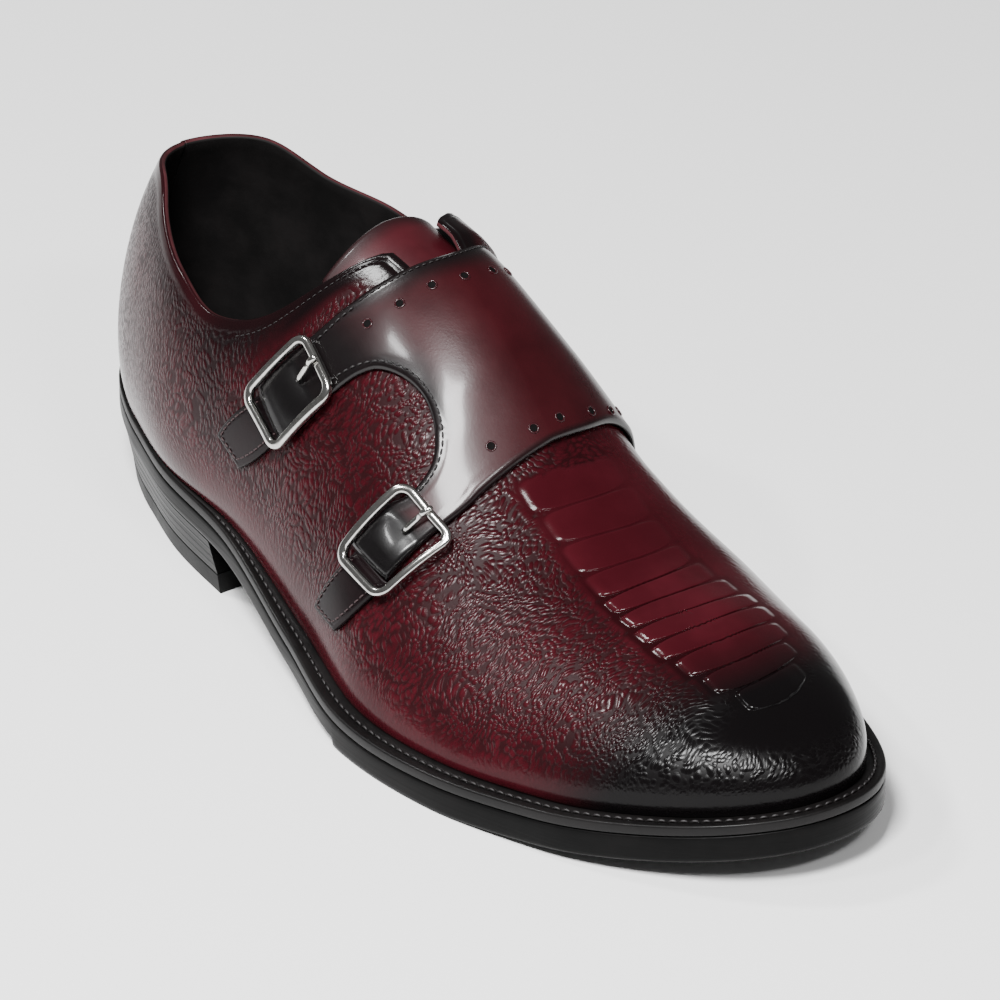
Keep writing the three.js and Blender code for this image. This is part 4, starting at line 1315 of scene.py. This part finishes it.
# Along the last's section: share and degrees of each punched hole
HOLES = [
    (0.431, 62), (0.443, 70), (0.451, 79), (0.459, 90), (0.457, 102), (0.448, 114), (0.432, 126),
    (0.414, 137), (0.385, 150), (0.36, 157),
    (0.5695, 71), (0.5765, 84), (0.5755, 95), (0.572, 108.5), (0.565, 120), (0.553, 130),
    (0.541, 141), (0.53, 152)]
HOLE_SIDES = 20


def fan():
    """Triangles from a ring's points to the point after them."""
    return [[j, (j + 1) % HOLE_SIDES, HOLE_SIDES] for j in range(HOLE_SIDES)]


def build_holes():
    dark, rims = [], []
    angle = np.linspace(0, 2 * math.pi, HOLE_SIDES, endpoint=False)[:, None]
    for share, degrees in HOLES:
        centre = section_point([share], [float(degrees)], np.array([STRAP_FACE]))[0]
        normal = section_normal([share], [float(degrees)])[0]
        side = unit(np.cross(normal, [0.3, 0.2, 1.0]))
        circle = np.cos(angle) * side + np.sin(angle) * np.cross(normal, side)
        # painted shade: a dark disc stands for the shaded depth of each punched hole
        disc = np.concatenate([centre + 1.05 * circle + normal * 0.06, [centre + normal * 0.02]])
        dark.append((disc, fan()))
        rims.append(tube(centre + normal * 0.05 + 1.25 * circle, 0.26, sides=8, closed=True,
                         normals=np.tile(normal, (HOLE_SIDES, 1))))
    obj = build_mesh("strap_hole_shades", *join_parts(dark), merge=False)
    finish_piece(obj, HOLE_SHADE)
    verts, faces = join_parts(rims)
    obj = build_mesh("strap_hole_rims", verts, faces, {"burnish_and_shade": np.full(len(verts), 0.45)}, merge=False)
    finish_piece(obj, RIM)
    for seat, word in ((REAR_BUCKLE, "rear"), (FRONT_BUCKLE, "front")):
        at, _ = place_on(seat)
        # painted shade: a dark disc for the shaded hole in each arm
        ring = at(0.9 * np.cos(angle[:, 0]), 3.0 + 0.9 * np.sin(angle[:, 0]), STRAP_FACE + 0.05)
        centre = at(0.0, 3.0, STRAP_FACE + 0.03).reshape(1, 3)
        obj = build_mesh(word + "_arm_hole_shade", np.concatenate([ring, centre]), fan(), merge=False)
        finish_piece(obj, HOLE_SHADE)


build_holes()


def collar_stitches(side, word):
    """A row just under the folded edge of the collar."""
    turn = turn_at(np.linspace(0.3, 0.41, 300), side)
    climb = rim_climb(turn) - 3.0 / RADIAN_SPAN
    path = upper_point(turn, climb, np.full(300, -0.05))
    normals = last_normal(turn, climb)
    stitch_row("collar_stitches_" + word, path, normals, 1.9, 1.4, 0.14, THREAD, lift=-0.06)


collar_stitches(-1, "lateral")
collar_stitches(1, "medial")

# The part's insole keeps its shape and gets its leather
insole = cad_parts["insole"]
insole.data.materials.clear()
insole.data.materials.append(INSOLE)

# Floor, light, camera
floor_mesh = bpy.data.meshes.new("floor")
half = 4.0
corners = [(-half, -half, 0), (half, -half, 0), (half, half, 0), (-half, half, 0)]
floor_mesh.from_pydata(corners, [], [(0, 1, 2, 3)])
floor = bpy.data.objects.new("floor", floor_mesh)
bpy.context.scene.collection.objects.link(floor)
paper = Shader("white_paper")
pale = (0.97, 0.97, 0.97, 1)
floor.data.materials.append(paper.surface(Base_Color=pale, Roughness=0.9, Specular_IOR_Level=0.1))

world = bpy.data.worlds.new("studio")
bpy.context.scene.world = world
world.use_nodes = True
world.node_tree.nodes["Background"].inputs["Color"].default_value = (1, 1, 1, 1)
world.node_tree.nodes["Background"].inputs["Strength"].default_value = 0.17


def area_light(name, direction, distance, size, power):
    """A softbox that looks at the middle of the shoe."""
    data = bpy.data.lights.new(name, "AREA")
    data.shape = "RECTANGLE"
    data.size, data.size_y = size
    data.energy = power
    light = bpy.data.objects.new(name, data)
    bpy.context.scene.collection.objects.link(light)
    direction = Vector(direction).normalized()
    light.location = Vector((0.0, 0.0, 0.04)) + direction * distance
    light.rotation_euler = direction.to_track_quat("Z", "Y").to_euler()


area_light("key_softbox", (0.348, -0.441, 0.829), 1.3, (0.32, 0.32), 36)
area_light("rear_softbox", (-0.54, -0.33, 0.77), 1.3, (0.15, 0.15), 9)
area_light("front_softbox", (0.7, -0.16, 0.7), 1.4, (0.3, 0.12), 6)
area_light("side_strip", (-0.1, -0.6, 0.75), 1.3, (0.2, 0.07), 5)

# The camera, fitted to the photo with a sole of FITTED_LENGTH mm and a picture of PICTURE px
AZIMUTH, ELEVATION, ROLL = (math.radians(v) for v in (51.46, 29.07, 1.07))
FITTED_LENGTH, FITTED_AIM, FITTED_DISTANCE = 300.0, np.array([112.85, 142.06, 0.0]), 2255.82
PICTURE, SENSOR, FOCAL_PX, ZOOM, AIM = 1000.0, 36.0, 4949.45, 1.62, (316.0, 537.0)


def camera_matrix():
    """Place and direction of the camera."""
    back = np.array([math.sin(AZIMUTH) * math.cos(ELEVATION), -math.cos(AZIMUTH) * math.cos(ELEVATION),
                     math.sin(ELEVATION)])
    place = (FITTED_AIM + back * FITTED_DISTANCE) * (LENGTH / FITTED_LENGTH) + SHIFT
    level = np.array([math.cos(AZIMUTH), math.sin(AZIMUTH), 0.0])
    upright = np.cross(back, level)
    right = math.cos(ROLL) * level + math.sin(ROLL) * upright
    up = -math.sin(ROLL) * level + math.cos(ROLL) * upright
    forward = unit(-back * FOCAL_PX + right * (AIM[0] - PICTURE / 2) + up * (PICTURE / 2 - AIM[1]))
    right = unit(right - forward * (right @ forward))
    up = np.cross(right, forward)
    rotation = Matrix([[right[k], up[k], -forward[k]] for k in range(3)])
    return Matrix.Translation(Vector(place * MM)) @ rotation.to_4x4()


camera_data = bpy.data.cameras.new("camera")
camera_data.sensor_width = SENSOR
camera_data.lens = FOCAL_PX * ZOOM * SENSOR / PICTURE
camera_data.clip_end = 50.0
camera = bpy.data.objects.new("camera", camera_data)
bpy.context.scene.collection.objects.link(camera)
camera.matrix_world = camera_matrix()
bpy.context.scene.camera = camera
